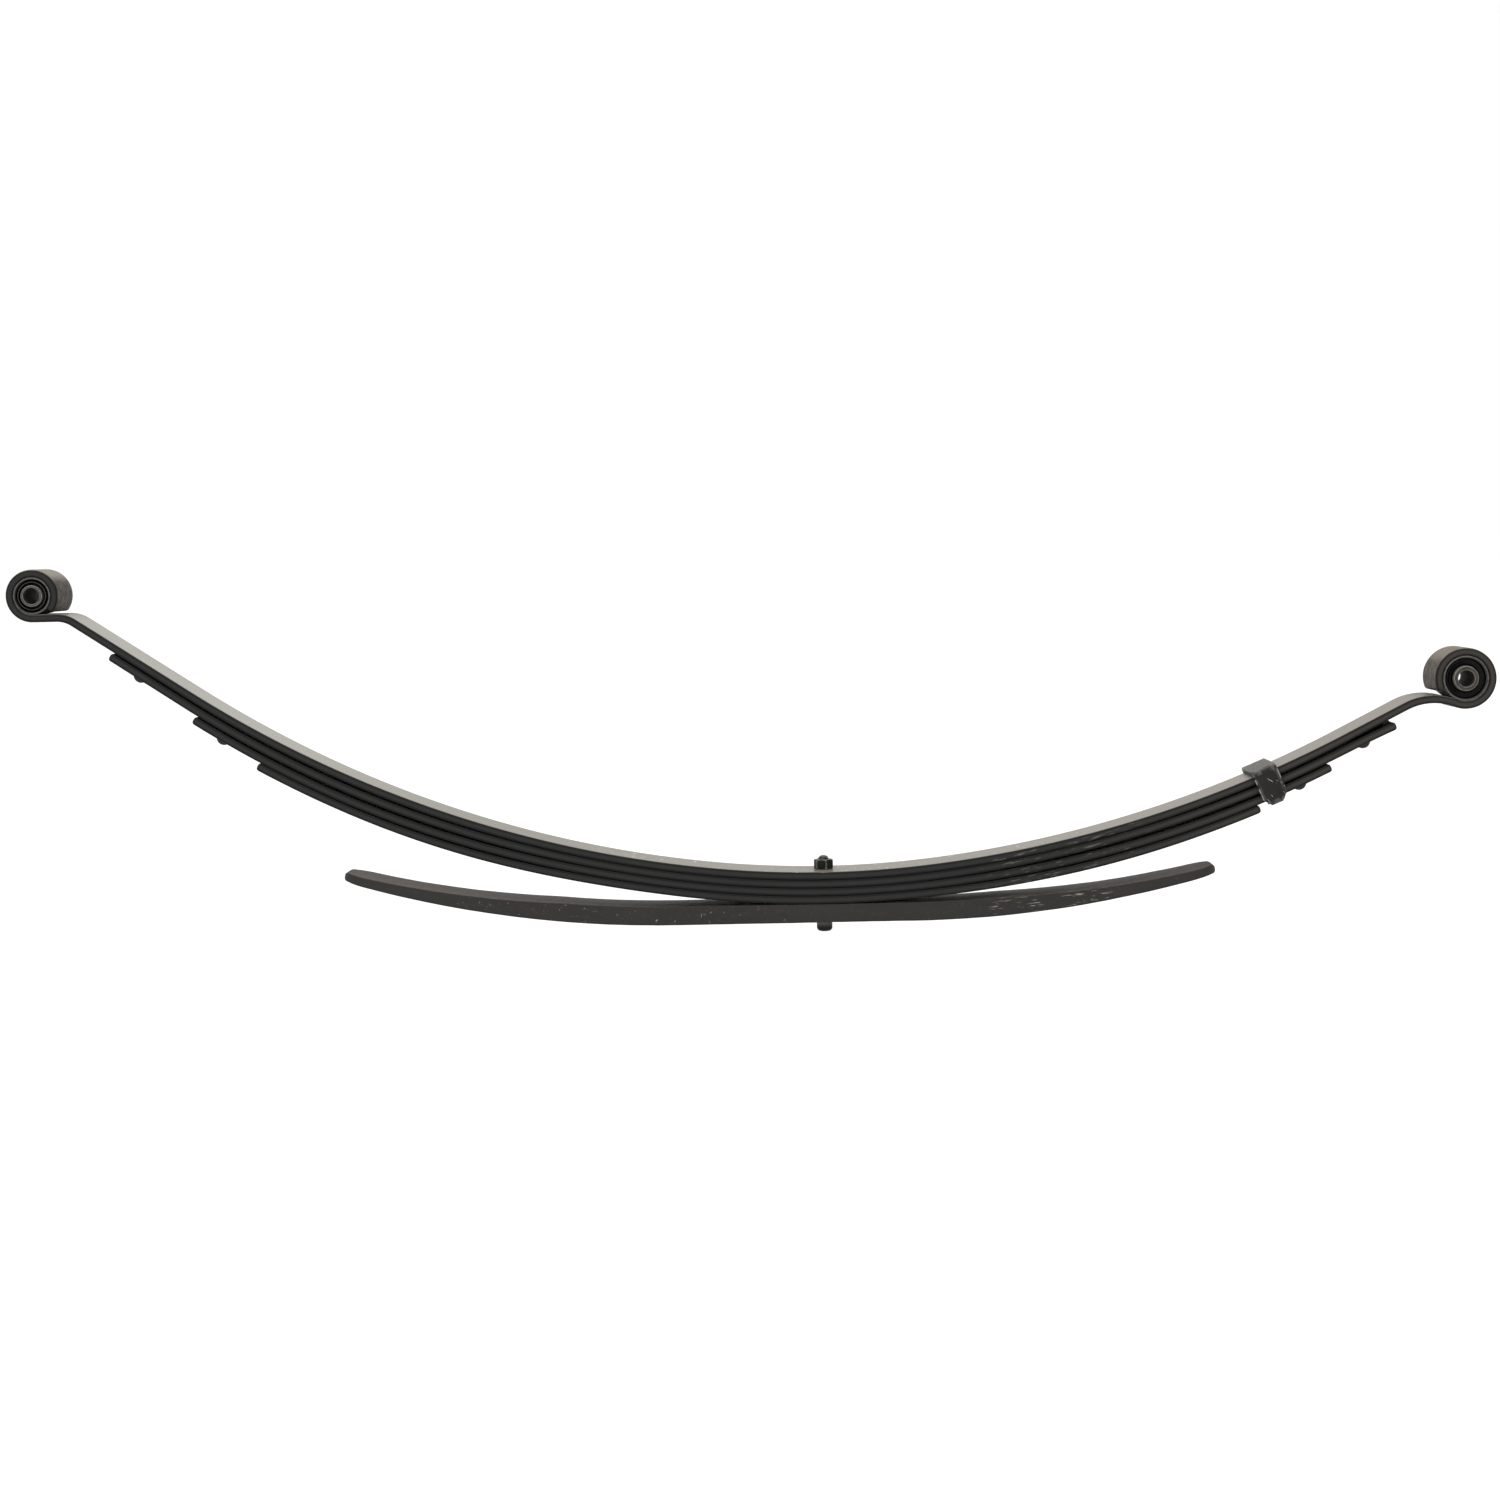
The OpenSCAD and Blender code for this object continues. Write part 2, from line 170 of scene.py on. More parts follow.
def mount(name):
    """Place of one of the record's mounts."""
    return next(Vector(m["pos_m"]) for m in frame["record"]["mounts"] if m["name"] == name)


def size(piece):
    """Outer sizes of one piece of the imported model."""
    lo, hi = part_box(piece)
    return hi - lo


def clamp(value):
    """Value held between 0 and 1."""
    return min(1.0, max(0.0, value))


EYE_MOUNT = {REAR: mount("rear_eye_bolt"), FRONT: mount("front_eye_bolt")}
EYE = {side: np.array([abs(EYE_MOUNT[side].x), EYE_MOUNT[side].z]) for side in SIDES}
EYE_R = {side: size(f"{SIDE_NAME[side]}_bush_shell").x / 2 for side in SIDES}
SLEEVE_R = {side: size(f"{SIDE_NAME[side]}_bush_sleeve").x / 2 for side in SIDES}
BORE_R = 0.00815


# ---- side view of the leaves
# Paths run outwards from the centre bolt, as [distance, height], for either side.
def along(a):
    """Unit step along a slope."""
    return np.array([math.cos(a), math.sin(a)])


def up(a):
    """Unit step square to a slope, upwards."""
    return np.array([-math.sin(a), math.cos(a)])


def arm_centre(side):
    return SEAT_CENTRE + (ARM_R[side] - SEAT_R) * up(SEAT_ANGLE)


def bend_centre(side):
    down = -DIP[side]
    return EYE[side] - (EYE_R[side] + BEND_R[side]) * up(down) - LEAD[side] * along(down)


def arm_slope(side):
    """Slope of the common tangent of the arm's arc and the bend."""
    span = bend_centre(side) - arm_centre(side)
    return math.atan2(span[1], span[0]) + math.asin(
        (ARM_R[side] + BEND_R[side]) / np.linalg.norm(span))


def arm_end(side):
    return arm_centre(side) - ARM_R[side] * up(arm_slope(side))


def main_station(side, place):
    """(point on the top face, slope) of the main leaf at a distance from the bolt."""
    if place <= SEAT_R * math.sin(SEAT_ANGLE):
        slope = math.asin(place / SEAT_R)
        return SEAT_CENTRE - SEAT_R * up(slope), slope
    end = arm_end(side)
    if place < end[0]:
        slope = math.asin((place - arm_centre(side)[0]) / ARM_R[side])
        return arm_centre(side) - ARM_R[side] * up(slope), slope
    slope = arm_slope(side)
    return end + (place - end[0]) / math.cos(slope) * along(slope), slope


def leaf_gap(k, side, place):
    """Gap between leaf k and the leaf above it: it opens along the arm and closes again."""
    most, start, end = ROOM[side][k - 1]
    share = clamp((place - start) / (end - start))
    gap = FILM + most * math.sin(math.pi * share) ** 2
    if k == 1 and side == FRONT:
        gap += TIP_DROP * max(0.0, (place - REACH[FRONT][0] + TIP_RUN) / TIP_RUN) ** 2
    return gap


def depth(k, side, place):
    """Depth of leaf k's top face below the main leaf's; k is 0 for the main leaf."""
    return sum(LEAF_T + leaf_gap(i, side, place) for i in range(1, k + 1))


def place_over(k, side, x):
    """Place on the main leaf that lies over leaf k at a distance x from the bolt."""
    near = x - depth(k, side, x) * math.sin(main_station(side, x)[1])
    return x - depth(k, side, near) * math.sin(main_station(side, near)[1])


def station(k, side, x):
    """(point on the top face, slope) of leaf k at a distance x from the bolt."""
    place = place_over(k, side, x)
    point, slope = main_station(side, place)
    nudge = 0.001
    lean = (depth(k, side, place + nudge) - depth(k, side, place - nudge)) / (2 * nudge)
    return point - depth(k, side, place) * up(slope), slope - math.atan(lean * math.cos(slope))


def button_x(k, side):
    """Distance of a liner's button from the bolt."""
    reach = REACH[side][k - 1]
    return reach - BUTTON_INSET * math.cos(station(k, side, reach)[1])


def run(stations, point, slope):
    """Adds a straight run to a point, cut into steps."""
    start = stations[-1][0]
    parts = max(1, round(np.linalg.norm(point - start) / LEAF_STEP))
    return stations + [(start + (point - start) * i / parts, slope) for i in range(1, parts + 1)]


def turn(stations, centre, radius, last):
    """Adds an arc about a centre to a last slope; a negative radius bends the other way."""
    first = stations[-1][1]
    parts = max(2, math.ceil(abs(last - first) / TURN_STEP))
    slopes = [first + (last - first) * i / parts for i in range(1, parts + 1)]
    return stations + [(centre - radius * up(a), a) for a in slopes]


def main_stations(side):
    """The main leaf from the bolt, along its arm, through the bend and round the eye."""
    slope = arm_slope(side)
    end = arm_end(side)[0]
    count = round(end / LEAF_STEP)
    path = [station(0, side, end * i / count) for i in range(count + 1)]
    bend = bend_centre(side)
    path = run(path, bend + BEND_R[side] * up(slope), slope)
    path = turn(path, bend, -BEND_R[side], -DIP[side])
    inner_r = EYE_R[side] + FIT_GAP
    if LEAD[side]:
        path = run(path, EYE[side] - inner_r * up(-DIP[side]), -DIP[side])
    return turn(path, EYE[side], inner_r, math.pi / 2 + CURL_STOP[side])


def lower_stations(k, side):
    """Leaf k from the bolt to where its rounded end starts."""
    reach = REACH[side][k - 1] - LEAF_T / 2
    count = round(reach / LEAF_STEP)
    return [station(k, side, reach * i / count) for i in range(count + 1)]


# ---- mesh tools
class Section:
    """One cross-section of a strip: its middle, two axes, half sizes and texture place."""

    def __init__(self, middle, wide, thick, half_w, half_t, corner, distance):
        self.middle = Vector(middle)
        self.wide = Vector(wide)
        self.thick = Vector(thick)
        self.half_w = half_w
        self.half_t = half_t
        self.corner = min(corner, CORNER_SHARE * half_t, CORNER_SHARE * half_w)
        self.distance = distance

    def outline(self):
        """Rounded rectangle as (across, through) pairs, the same count for every section."""
        w, t, r = self.half_w, self.half_t, self.corner
        centres = [(w - r, t - r), (r - w, t - r), (r - w, r - t), (w - r, r - t)]
        points = []
        for q, (cx, cy) in enumerate(centres):
            for i in range(CORNER_PARTS + 1):
                a = math.pi / 2 * (q + i / CORNER_PARTS)
                points.append((cx + r * math.cos(a), cy + r * math.sin(a)))
            parts = FACE_PARTS if q % 2 == 0 else SIDE_PARTS
            x, y = points[-1]
            next_x, next_y = centres[(q + 1) % 4]
            if q % 2 == 0:
                next_y = y
            else:
                next_x = x
            points += [(x + (next_x - x) * i / parts, y + (next_y - y) * i / parts)
                       for i in range(1, parts)]
        return points


def mark_edges(work, halved):
    """Gives each vertex an "edge" value: 1 where the surface turns sharply outwards.

    A halved piece has none at the bolt, where it butts against its other half.
    """
    layer = work.verts.layers.float.get("edge") or work.verts.layers.float.new("edge")
    for vert in work.verts:
        turns = [e.calc_face_angle_signed(0.0) for e in vert.link_edges if len(e.link_faces) == 2]
        sharp = clamp((max(turns, default=0.0) - EDGE_STARTS) / (EDGE_FULL - EDGE_STARTS))
        vert[layer] = 0.0 if halved and abs(vert.co.x) < JOIN_X else sharp


def finished(name, work, material, weighted=True, halved=False):
    """Turns a bmesh into an object with outward faces, rounded shading and a material."""
    bmesh.ops.recalc_face_normals(work, faces=work.faces)
    mark_edges(work, halved)
    mesh = bpy.data.meshes.new(name)
    work.to_mesh(mesh)
    work.free()
    mesh.shade_smooth()
    mesh.set_sharp_from_angle(angle=SMOOTH_LIMIT)
    mesh.materials.append(material)
    made = bpy.data.objects.new(name, mesh)
    bpy.context.scene.collection.objects.link(made)
    if weighted:
        shading = made.modifiers.new("flat_faces", "WEIGHTED_NORMAL")
        shading.keep_sharp = True
    return made


def dent_share(point, seed):
    """How deep the surface is dented at a point, from 0 to 1."""
    share = 0.5 + 0.5 * noise.noise(point * BROAD_DENTS + Vector((seed, 0, 0)))
    share += FINE_DENT_SHARE * noise.noise(point * FINE_DENTS + Vector((0, seed, 0)))
    return clamp(share)


def join_rings(work, rings, closed):
    """Faces between each ring and the next; the two end rings are joined or capped."""
    pairs = list(zip(rings, rings[1:]))
    if closed:
        pairs.append((rings[-1], rings[0]))
    for a, b in pairs:
        for i in range(len(a)):
            j = (i + 1) % len(a)
            work.faces.new((a[i], a[j], b[j], b[i]))
    if not closed:
        work.faces.new(rings[0])
        work.faces.new(rings[-1])


def strip_mesh(sections, dents=0.0, seed=0.0):
    """Closed strip through its sections, dented inwards by up to that depth."""
    work = bmesh.new()
    grain = work.verts.layers.float_vector.new("grain")
    rings = []
    for s in sections:
        ring = []
        for across, through in s.outline():
            point = s.middle + s.wide * across + s.thick * through
            if dents:
                point -= s.thick * (dents * dent_share(point, seed) * math.copysign(1, through))
            vert = work.verts.new(point)
            vert[grain] = Vector((s.distance, across + seed, through))
            ring.append(vert)
        rings.append(ring)
    join_rings(work, rings, closed=False)
    return work


def turned_mesh(profile, centre, axis, bored):
    """Solid of revolution from (radius, height) pairs; a radius may be a function of the angle.

    A bored one joins its last ring to its first, any other is closed at both ends.
    """
    work = bmesh.new()
    grain = work.verts.layers.float_vector.new("grain")
    bore = work.verts.layers.float.new("bore")
    least = min(radius for radius, height in profile if not callable(radius))
    rings = []
    for radius, height in profile:
        ring = []
        for i in range(TURNED_SEGMENTS):
            a = 2 * math.pi * i / TURNED_SEGMENTS
            r = radius(a) if callable(radius) else radius
            flat = (r * math.cos(a), r * math.sin(a))
            place = (flat[0], height, flat[1]) if axis == "Y" else (*flat, height)
            vert = work.verts.new(Vector(centre) + Vector(place))
            vert[grain] = Vector(place)
            vert[bore] = 1.0 if bored and r <= least else 0.0
            ring.append(vert)
        rings.append(ring)
    join_rings(work, rings, closed=bored)
    return work


def round_end(last, ahead, plan_corner):
    """Sections that close a strip beyond its last full section."""
    sections = []
    for i in range(1, TIP_PARTS + 1):
        a = math.pi / 2 * i / TIP_PARTS
        reach = last.half_t * math.sin(a) ** TIP_FULLNESS
        thinned = max(math.cos(a) ** TIP_FULLNESS, THINNEST)
        sections.append(Section(
            last.middle + ahead * reach, last.wide, last.thick,
            last.half_w - plan_corner * (1 - math.cos(a)), last.half_t * thinned,
            last.corner, last.distance + reach))
    return sections


def quarter_turn(parts):
    """Angles from 0 to a right angle."""
    return [math.pi / 2 * i / parts for i in range(parts + 1)]


def smooth_curve(points, parts=6):
    """Eases from each (radius, height) pair to the next, flat at every pair."""
    out = [points[0]]
    for (r0, h0), (r1, h1) in zip(points, points[1:]):
        for i in range(1, parts + 1):
            t = i / parts
            out.append((r0 + (r1 - r0) * t, h0 + (h1 - h0) * (1 - math.cos(math.pi * t)) / 2))
    return out


# ---- materials
def node(tree, kind, inputs=None, **settings):
    """Adds a shader node; an input is a value or another node's socket."""
    made = tree.nodes.new("ShaderNode" + kind)
    for key, value in settings.items():
        setattr(made, key, value)
    for key, value in (inputs or {}).items():
        if isinstance(value, bpy.types.NodeSocket):
            tree.links.new(value, made.inputs[key])
        else:
            made.inputs[key].default_value = value
    return made


def attribute(tree, name, output="Fac"):
    """A value that the mesh holds at each vertex."""
    return node(tree, "Attribute", attribute_name=name).outputs[output]


def stretched(tree, scale):
    """The surface's own coordinates (along, across, through) times a scale for each."""
    coords = attribute(tree, "grain", "Vector")
    return node(tree, "VectorMath", {0: coords, 1: scale}, operation="MULTIPLY").outputs[0]


def cloud(tree, scale, detail=4.0, roughness=0.55):
    """Noise from 0 to 1 with that many features a metre along, across and through."""
    made = node(tree, "TexNoise", {"Vector": stretched(tree, scale), "Scale": 1.0,
                                   "Detail": detail, "Roughness": roughness})
    return made.outputs["Fac"]


def ramp(tree, value, low, high):
    """0 below low, 1 above high, smooth between."""
    made = node(tree, "MapRange", {"Value": value, "From Min": low, "From Max": high},
                interpolation_type="SMOOTHSTEP")
    return made.outputs["Result"]


def spread(tree, value, low, high):
    """Maps 0 to 1 onto low to high."""
    made = node(tree, "MapRange", {"Value": value, "To Min": low, "To Max": high})
    return made.outputs["Result"]


def math_node(tree, operation, a, b):
    return node(tree, "Math", {0: a, 1: b}, operation=operation).outputs[0]


def mix(tree, share, a, b):
    """Colour a where share is 0, colour b where it is 1."""
    a, b = (v if isinstance(v, bpy.types.NodeSocket) else (*v, 1.0) for v in (a, b))
    return node(tree, "Mix", {0: share, 6: a, 7: b}, data_type="RGBA").outputs[2]


def mix_value(tree, share, a, b):
    """Value a where share is 0, value b where it is 1."""
    return node(tree, "Mix", {0: share, 2: a, 3: b}).outputs[0]


def facing_up(tree):
    """1 on surfaces that look up, 0 on side faces."""
    normal = node(tree, "NewGeometry").outputs["Normal"]
    return ramp(tree, node(tree, "SeparateXYZ", {0: normal}).outputs["Z"], 0.45, 0.85)


def facing_across(tree):
    """0 on faces that look along the eye's axis, 1 on the faces between them."""
    normal = node(tree, "NewGeometry").outputs["Normal"]
    along_axis = node(tree, "SeparateXYZ", {0: normal}).outputs["Y"]
    return ramp(tree, math_node(tree, "ABSOLUTE", along_axis, 0.0), 0.8, 0.3)


def bump(tree, height, distance, strength, under=None):
    """Surface direction over bumps of that height, on top of coarser ones if any are under it."""
    inputs = {"Height": height, "Distance": distance, "Strength": strength}
    if under is not None:
        inputs["Normal"] = under
    return node(tree, "Bump", inputs).outputs["Normal"]


def new_material(name, metallic=0.0, specular=0.5):
    """A new material with its node tree and its shader."""
    made = bpy.data.materials.new(name)
    made.use_nodes = True
    shader = made.node_tree.nodes["Principled BSDF"]
    shader.inputs["Metallic"].default_value = metallic
    shader.inputs["Specular IOR Level"].default_value = specular
    return made, made.node_tree, shader


def connect(tree, shader, colour, roughness, normal):
    tree.links.new(colour, shader.inputs["Base Color"])
    tree.links.new(roughness, shader.inputs["Roughness"])
    tree.links.new(normal, shader.inputs["Normal"])


def scratches(tree, scale, low, high, turn_vector):
    """Thin lines: a noise stretched far along one slanted direction, only its peaks kept."""
    turned = node(tree, "VectorRotate", {"Vector": attribute(tree, "grain", "Vector"),
                                         "Rotation": turn_vector}, rotation_type="EULER_XYZ")
    scaled = node(tree, "VectorMath", {0: turned.outputs[0], 1: scale}, operation="MULTIPLY")
    lines = node(tree, "TexNoise", {"Vector": scaled.outputs[0], "Scale": 1.0, "Detail": 2.0})
    return ramp(tree, lines.outputs["Fac"], low, high)


def leaf_place(tree, axis):
    """Place on a leaf: X along it from the centre bolt, Y across it, Z through it."""
    coords = attribute(tree, "grain", "Vector")
    return node(tree, "SeparateXYZ", {0: coords}).outputs[axis]


def window(tree, value, low, high, soft):
    """1 between low and high, fading to 0 over a soft margin on both sides."""
    rising = ramp(tree, value, low - soft, low)
    falling = ramp(tree, value, high + soft, high)
    return math_node(tree, "MULTIPLY", rising, falling)


def times(tree, *values):
    """Product of several values."""
    product = values[0]
    for value in values[1:]:
        product = math_node(tree, "MULTIPLY", product, value)
    return product


# Colours, as linear red, green and blue
CHARCOAL = (0.0165, 0.0165, 0.0165)
CHARCOAL_LIGHT = (0.0250, 0.0242, 0.0230)
CHARCOAL_GRAIN = (0.038, 0.036, 0.033)
CHARCOAL_BROWN = (0.046, 0.040, 0.034)
# Painted shade on the leaves' sides towards the seams
SEAM_SHADE_BLACK = (0.0035, 0.0035, 0.0035)
# Painted shade along the leaves' rounded edges
EDGE_SHADE_BLACK = (0.009, 0.009, 0.009)
# Top-face tones: dust together with a painted sheen
DUST_AND_SHEEN_REAR = (0.290, 0.280, 0.235)
DUST_AND_SHEEN_MIDDLE = (0.165, 0.150, 0.112)
DUST_AND_SHEEN_FRONT = (0.195, 0.172, 0.140)
BARREL_BROWN = (0.240, 0.196, 0.145)
LEAF_RUST = (0.085, 0.042, 0.020)
SCUFF_PALE = (0.190, 0.180, 0.160)
SPECK_PALE = (0.20, 0.19, 0.175)
CHIP_PALE = (0.85, 0.85, 0.80)
SCALE_DARK = (0.0155, 0.0152, 0.0140)
SCALE_LIGHT = (0.029, 0.0275, 0.0250)
SCALE_FLAKE = (0.040, 0.036, 0.032)
SCALE_TOP = (0.085, 0.062, 0.046)
SCALE_RUST = (0.070, 0.042, 0.027)
# Painted shade along the overload leaf's rounded edges
SCALE_EDGE_SHADE = (0.012, 0.0115, 0.011)
SCRAPE_PALE = (0.34, 0.32, 0.25)
SCALE_CHIP = (0.36, 0.35, 0.32)
STRAP_DARK = (0.0085, 0.0083, 0.0078)
STRAP_LIGHT = (0.018, 0.0168, 0.0150)
STRAP_TOP = (0.110, 0.105, 0.092)
STRAP_WORN = (0.36, 0.35, 0.33)
# Painted shade: nearly black inside bores
BORE_SHADE_BLACK = (0.006, 0.0055, 0.005)
WHITE = (1.0, 1.0, 1.0, 1.0)

# Stretches along the spring from the centre bolt, in metres
BROWN_STARTS = (0.20, 0.50)
PALE_DUST_AND_SHEEN_ENDS = (-0.65, -0.30)
FRONT_DUST_AND_SHEEN_STARTS = (0.10, 0.60)
SCUFFED = (0.19, 0.30)
CHIPS_FADE = (0.30, 0.18)
OVERLOAD_SCRAPED = ((0.18, 0.21), (0.25, 0.28))
OVERLOAD_CHIPPED = (-0.36, -0.06)
# Heights from a leaf's middle between which painted shade darkens its side into the seam
SEAM_SHADE_SPAN = (0.0010, 0.0032)


def leaf_ground(tree, place, fine):
    """Charcoal sides, browner towards the front, with painted shade near black at the seams."""
    colour = mix(tree, cloud(tree, (9, 40, 40)), CHARCOAL, CHARCOAL_LIGHT)
    colour = mix(tree, ramp(tree, fine, 0.54, 0.78), colour, CHARCOAL_GRAIN)
    brown = spread(tree, ramp(tree, place, *BROWN_STARTS), 0.0, 0.55)
    colour = mix(tree, brown, colour, CHARCOAL_BROWN)
    # Painted shade: each side darkens from its middle towards the seams
    from_middle = math_node(tree, "ABSOLUTE", leaf_place(tree, "Z"), 0.0)
    return mix(tree, ramp(tree, from_middle, *SEAM_SHADE_SPAN), colour, SEAM_SHADE_BLACK)


def leaf_dust_and_sheen(tree, colour, place, top, streak, barrel):
    """Dust on the top face with a painted sheen, palest at the rear and thin on the eyes."""
    tone = mix(tree, ramp(tree, place, *PALE_DUST_AND_SHEEN_ENDS), DUST_AND_SHEEN_REAR, DUST_AND_SHEEN_MIDDLE)
    tone = mix(tree, ramp(tree, place, *FRONT_DUST_AND_SHEEN_STARTS), tone, DUST_AND_SHEEN_FRONT)
    # Dust and painted sheen on the uncovered top faces
    dust_and_sheen = times(tree, top, spread(tree, streak, 0.55, 1.0), spread(tree, barrel, 1.0, 0.35))
    return mix(tree, dust_and_sheen, colour, tone)


def leaf_wear(tree, colour, place, top, curl, barrel):
    """Scuffs, rust, specks, chips near the bolt and painted shade along the edges."""
    scuff = scratches(tree, (50, 500, 700), 0.60, 0.66, (0.0, 0.04, 0.1))
    scuffed = math_node(tree, "MAXIMUM", window(tree, place, *SCUFFED, 0.04),
                        times(tree, barrel, 0.6))
    colour = mix(tree, times(tree, scuff, times(tree, scuffed, 0.4)), colour, SCUFF_PALE)
    rust = ramp(tree, cloud(tree, (70, 90, 90), detail=8, roughness=0.75), 0.68, 0.76)
    colour = mix(tree, times(tree, rust, spread(tree, curl, 0.25, 0.8)), colour, LEAF_RUST)
    speck = ramp(tree, cloud(tree, (260, 340, 340), detail=4), 0.77, 0.82)
    colour = mix(tree, times(tree, speck, 0.7), colour, SPECK_PALE)
    chips = ramp(tree, cloud(tree, (240, 200, 200), detail=5, roughness=0.7), 0.640, 0.665)
    middle = ramp(tree, math_node(tree, "ABSOLUTE", place, 0.0), *CHIPS_FADE)
    colour = mix(tree, times(tree, chips, times(tree, middle, top)), colour, CHIP_PALE)
    # Painted shade along the rounded edges, left off the eyes
    flat_side = math_node(tree, "SUBTRACT", 1.0, curl)
    painted_edge_shade = times(tree, attribute(tree, "edge"), times(tree, flat_side, 0.85))
    return mix(tree, painted_edge_shade, colour, EDGE_SHADE_BLACK)


def leaf_paint():
    """Satin charcoal paint with a dusty top face lightened by painted sheen, and mottled barrels on
    the eyes.
    """
    made, tree, shader = new_material("leaf_paint", specular=0.12)
    fine = cloud(tree, (420, 700, 700), detail=6, roughness=0.65)
    streak = cloud(tree, (16, 160, 160), detail=4)
    mottle = ramp(tree, cloud(tree, (170, 210, 210), detail=6, roughness=0.8), 0.48, 0.56)
    top = times(tree, facing_up(tree), spread(tree, attribute(tree, "covered"), 1.0, 0.1))
    place = leaf_place(tree, "X")
    curl = attribute(tree, "curl")
    barrel = times(tree, curl, facing_across(tree))
    colour = leaf_ground(tree, place, fine)
    colour = leaf_dust_and_sheen(tree, colour, place, top, streak, barrel)
    colour = mix(tree, times(tree, barrel, spread(tree, mottle, 0.10, 1.0)), colour, BARREL_BROWN)
    colour = leaf_wear(tree, colour, place, top, curl, barrel)
    roughness = mix_value(tree, top, spread(tree, fine, 0.50, 0.68), spread(tree, streak, 0.28, 0.42))
    roughness = mix_value(tree, barrel, roughness, spread(tree, mottle, 0.50, 0.85))
    lumps = bump(tree, cloud(tree, (60, 110, 110), detail=3), 0.0006, 0.22)
    connect(tree, shader, colour, roughness, bump(tree, fine, 0.00010, 0.5, lumps))
    return made


def forged_wear(tree, colour, place):
    """Two scraped stretches, chips over the rear and painted shade along the edges."""
    scraped = math_node(tree, "MAXIMUM",
                        *(window(tree, place, *ends, 0.02) for ends in OVERLOAD_SCRAPED))
    for slant in (0.05, -0.08):
        marks = scratches(tree, (20, 900, 900), 0.625, 0.70, (0.0, slant, slant))
        colour = mix(tree, times(tree, marks, spread(tree, scraped, 0.0, 0.7)), colour, SCRAPE_PALE)
    chips = ramp(tree, cloud(tree, (240, 330, 330), detail=5, roughness=0.75), 0.64, 0.68)
    chipped = window(tree, place, *OVERLOAD_CHIPPED, 0.04)
    colour = mix(tree, times(tree, chips, spread(tree, chipped, 0.1, 0.8)), colour, SCALE_CHIP)
    # Painted shade along the rounded edges
    return mix(tree, times(tree, attribute(tree, "edge"), 0.6), colour, SCALE_EDGE_SHADE)


def forged_steel():
    """Rough scaled steel: brown top, dark sides, rust tones and pale scratches."""
    made, tree, shader = new_material("forged_steel", specular=0.2)
    broad = cloud(tree, (14, 40, 40), detail=5)
    flakes = cloud(tree, (190, 260, 260), detail=8, roughness=0.72)
    top = facing_up(tree)
    colour = mix(tree, broad, SCALE_DARK, SCALE_LIGHT)
    colour = mix(tree, ramp(tree, flakes, 0.52, 0.74), colour, SCALE_FLAKE)
    colour = mix(tree, times(tree, top, spread(tree, flakes, 0.40, 1.0)), colour, SCALE_TOP)
    rust = ramp(tree, cloud(tree, (45, 80, 80), detail=8, roughness=0.75), 0.62, 0.74)
    colour = mix(tree, times(tree, rust, 0.6), colour, SCALE_RUST)
    colour = forged_wear(tree, colour, leaf_place(tree, "X"))
    roughness = mix_value(tree, top, spread(tree, flakes, 0.55, 0.78),
                          spread(tree, flakes, 0.52, 0.70))
    lumps = bump(tree, cloud(tree, (50, 80, 80), detail=3), 0.0015, 0.4)
    connect(tree, shader, colour, roughness, bump(tree, flakes, 0.0004, 0.7, lumps))
    return made


def bare_metal(name, dark, light, worn_and_glint_colour, metallic, roughness, ridges,
               bore_colour=BORE_SHADE_BLACK, specular=0.35):
    """Machined or pressed steel: soft mottling, fine turning marks, and bright edges of wear and
    painted highlight.
    """
    made, tree, shader = new_material(name, metallic=metallic, specular=specular)
    mottle = cloud(tree, (160, 160, 160), detail=6, roughness=0.65)
    grain = cloud(tree, ridges, detail=4)
    colour = mix(tree, ramp(tree, mottle, 0.35, 0.65), dark, light)
    patches = ramp(tree, cloud(tree, (500, 500, 500), detail=4), 0.30, 0.50)
    # Bright edges: partly worn metal, partly a painted highlight
    colour = mix(tree, times(tree, attribute(tree, "edge"), patches), colour, worn_and_glint_colour)
    # Bores take bore_colour, by default a painted shade of nearly black
    bore = attribute(tree, "bore")
    colour = mix(tree, bore, colour, bore_colour)
    rough = mix_value(tree, bore, spread(tree, grain, *roughness), 0.85)
    connect(tree, shader, colour, rough, bump(tree, grain, 0.00008, 0.5))
    return made


def moulded(name, dark, light, crest_and_glint, roughness, grain_scale, depth):
    """Rubber or plastic: faint bloom, a fine moulded grain and paler crests, partly their own tone
    and partly a painted highlight.
    """
    made, tree, shader = new_material(name, specular=0.10)
    bloom = cloud(tree, (110, 110, 110), detail=5)
    grain = cloud(tree, (grain_scale,) * 3, detail=3)
    colour = mix(tree, ramp(tree, bloom, 0.4, 0.75), dark, light)
    # Paler crests: partly their own tone, partly a painted highlight
    colour = mix(tree, times(tree, attribute(tree, "edge"), 0.6), colour, crest_and_glint)
    connect(tree, shader, colour, spread(tree, bloom, *roughness), bump(tree, grain, depth, 0.5))
    return made


def clip_paint():
    """Charcoal pressed strap with bright worn edges and a pale scratch or two."""
    made, tree, shader = new_material("clip_steel", specular=0.15)
    fine = cloud(tree, (500, 500, 500), detail=6, roughness=0.7)
    colour = mix(tree, cloud(tree, (60, 60, 60)), STRAP_DARK, STRAP_LIGHT)
    dusty = times(tree, facing_up(tree), spread(tree, fine, 0.2, 0.9))
    colour = mix(tree, dusty, colour, STRAP_TOP)
    marks = scratches(tree, (90, 900, 900), 0.67, 0.72, (0.3, 0.0, 0.5))
    colour = mix(tree, marks, colour, STRAP_WORN)
    patches = ramp(tree, cloud(tree, (150, 150, 150), detail=5), 0.44, 0.58)
    worn = times(tree, attribute(tree, "edge"), patches)
    colour = mix(tree, times(tree, worn, 0.70), colour, STRAP_WORN)
    connect(tree, shader, colour, spread(tree, fine, 0.42, 0.62), bump(tree, fine, 0.0002, 0.6))
    return made


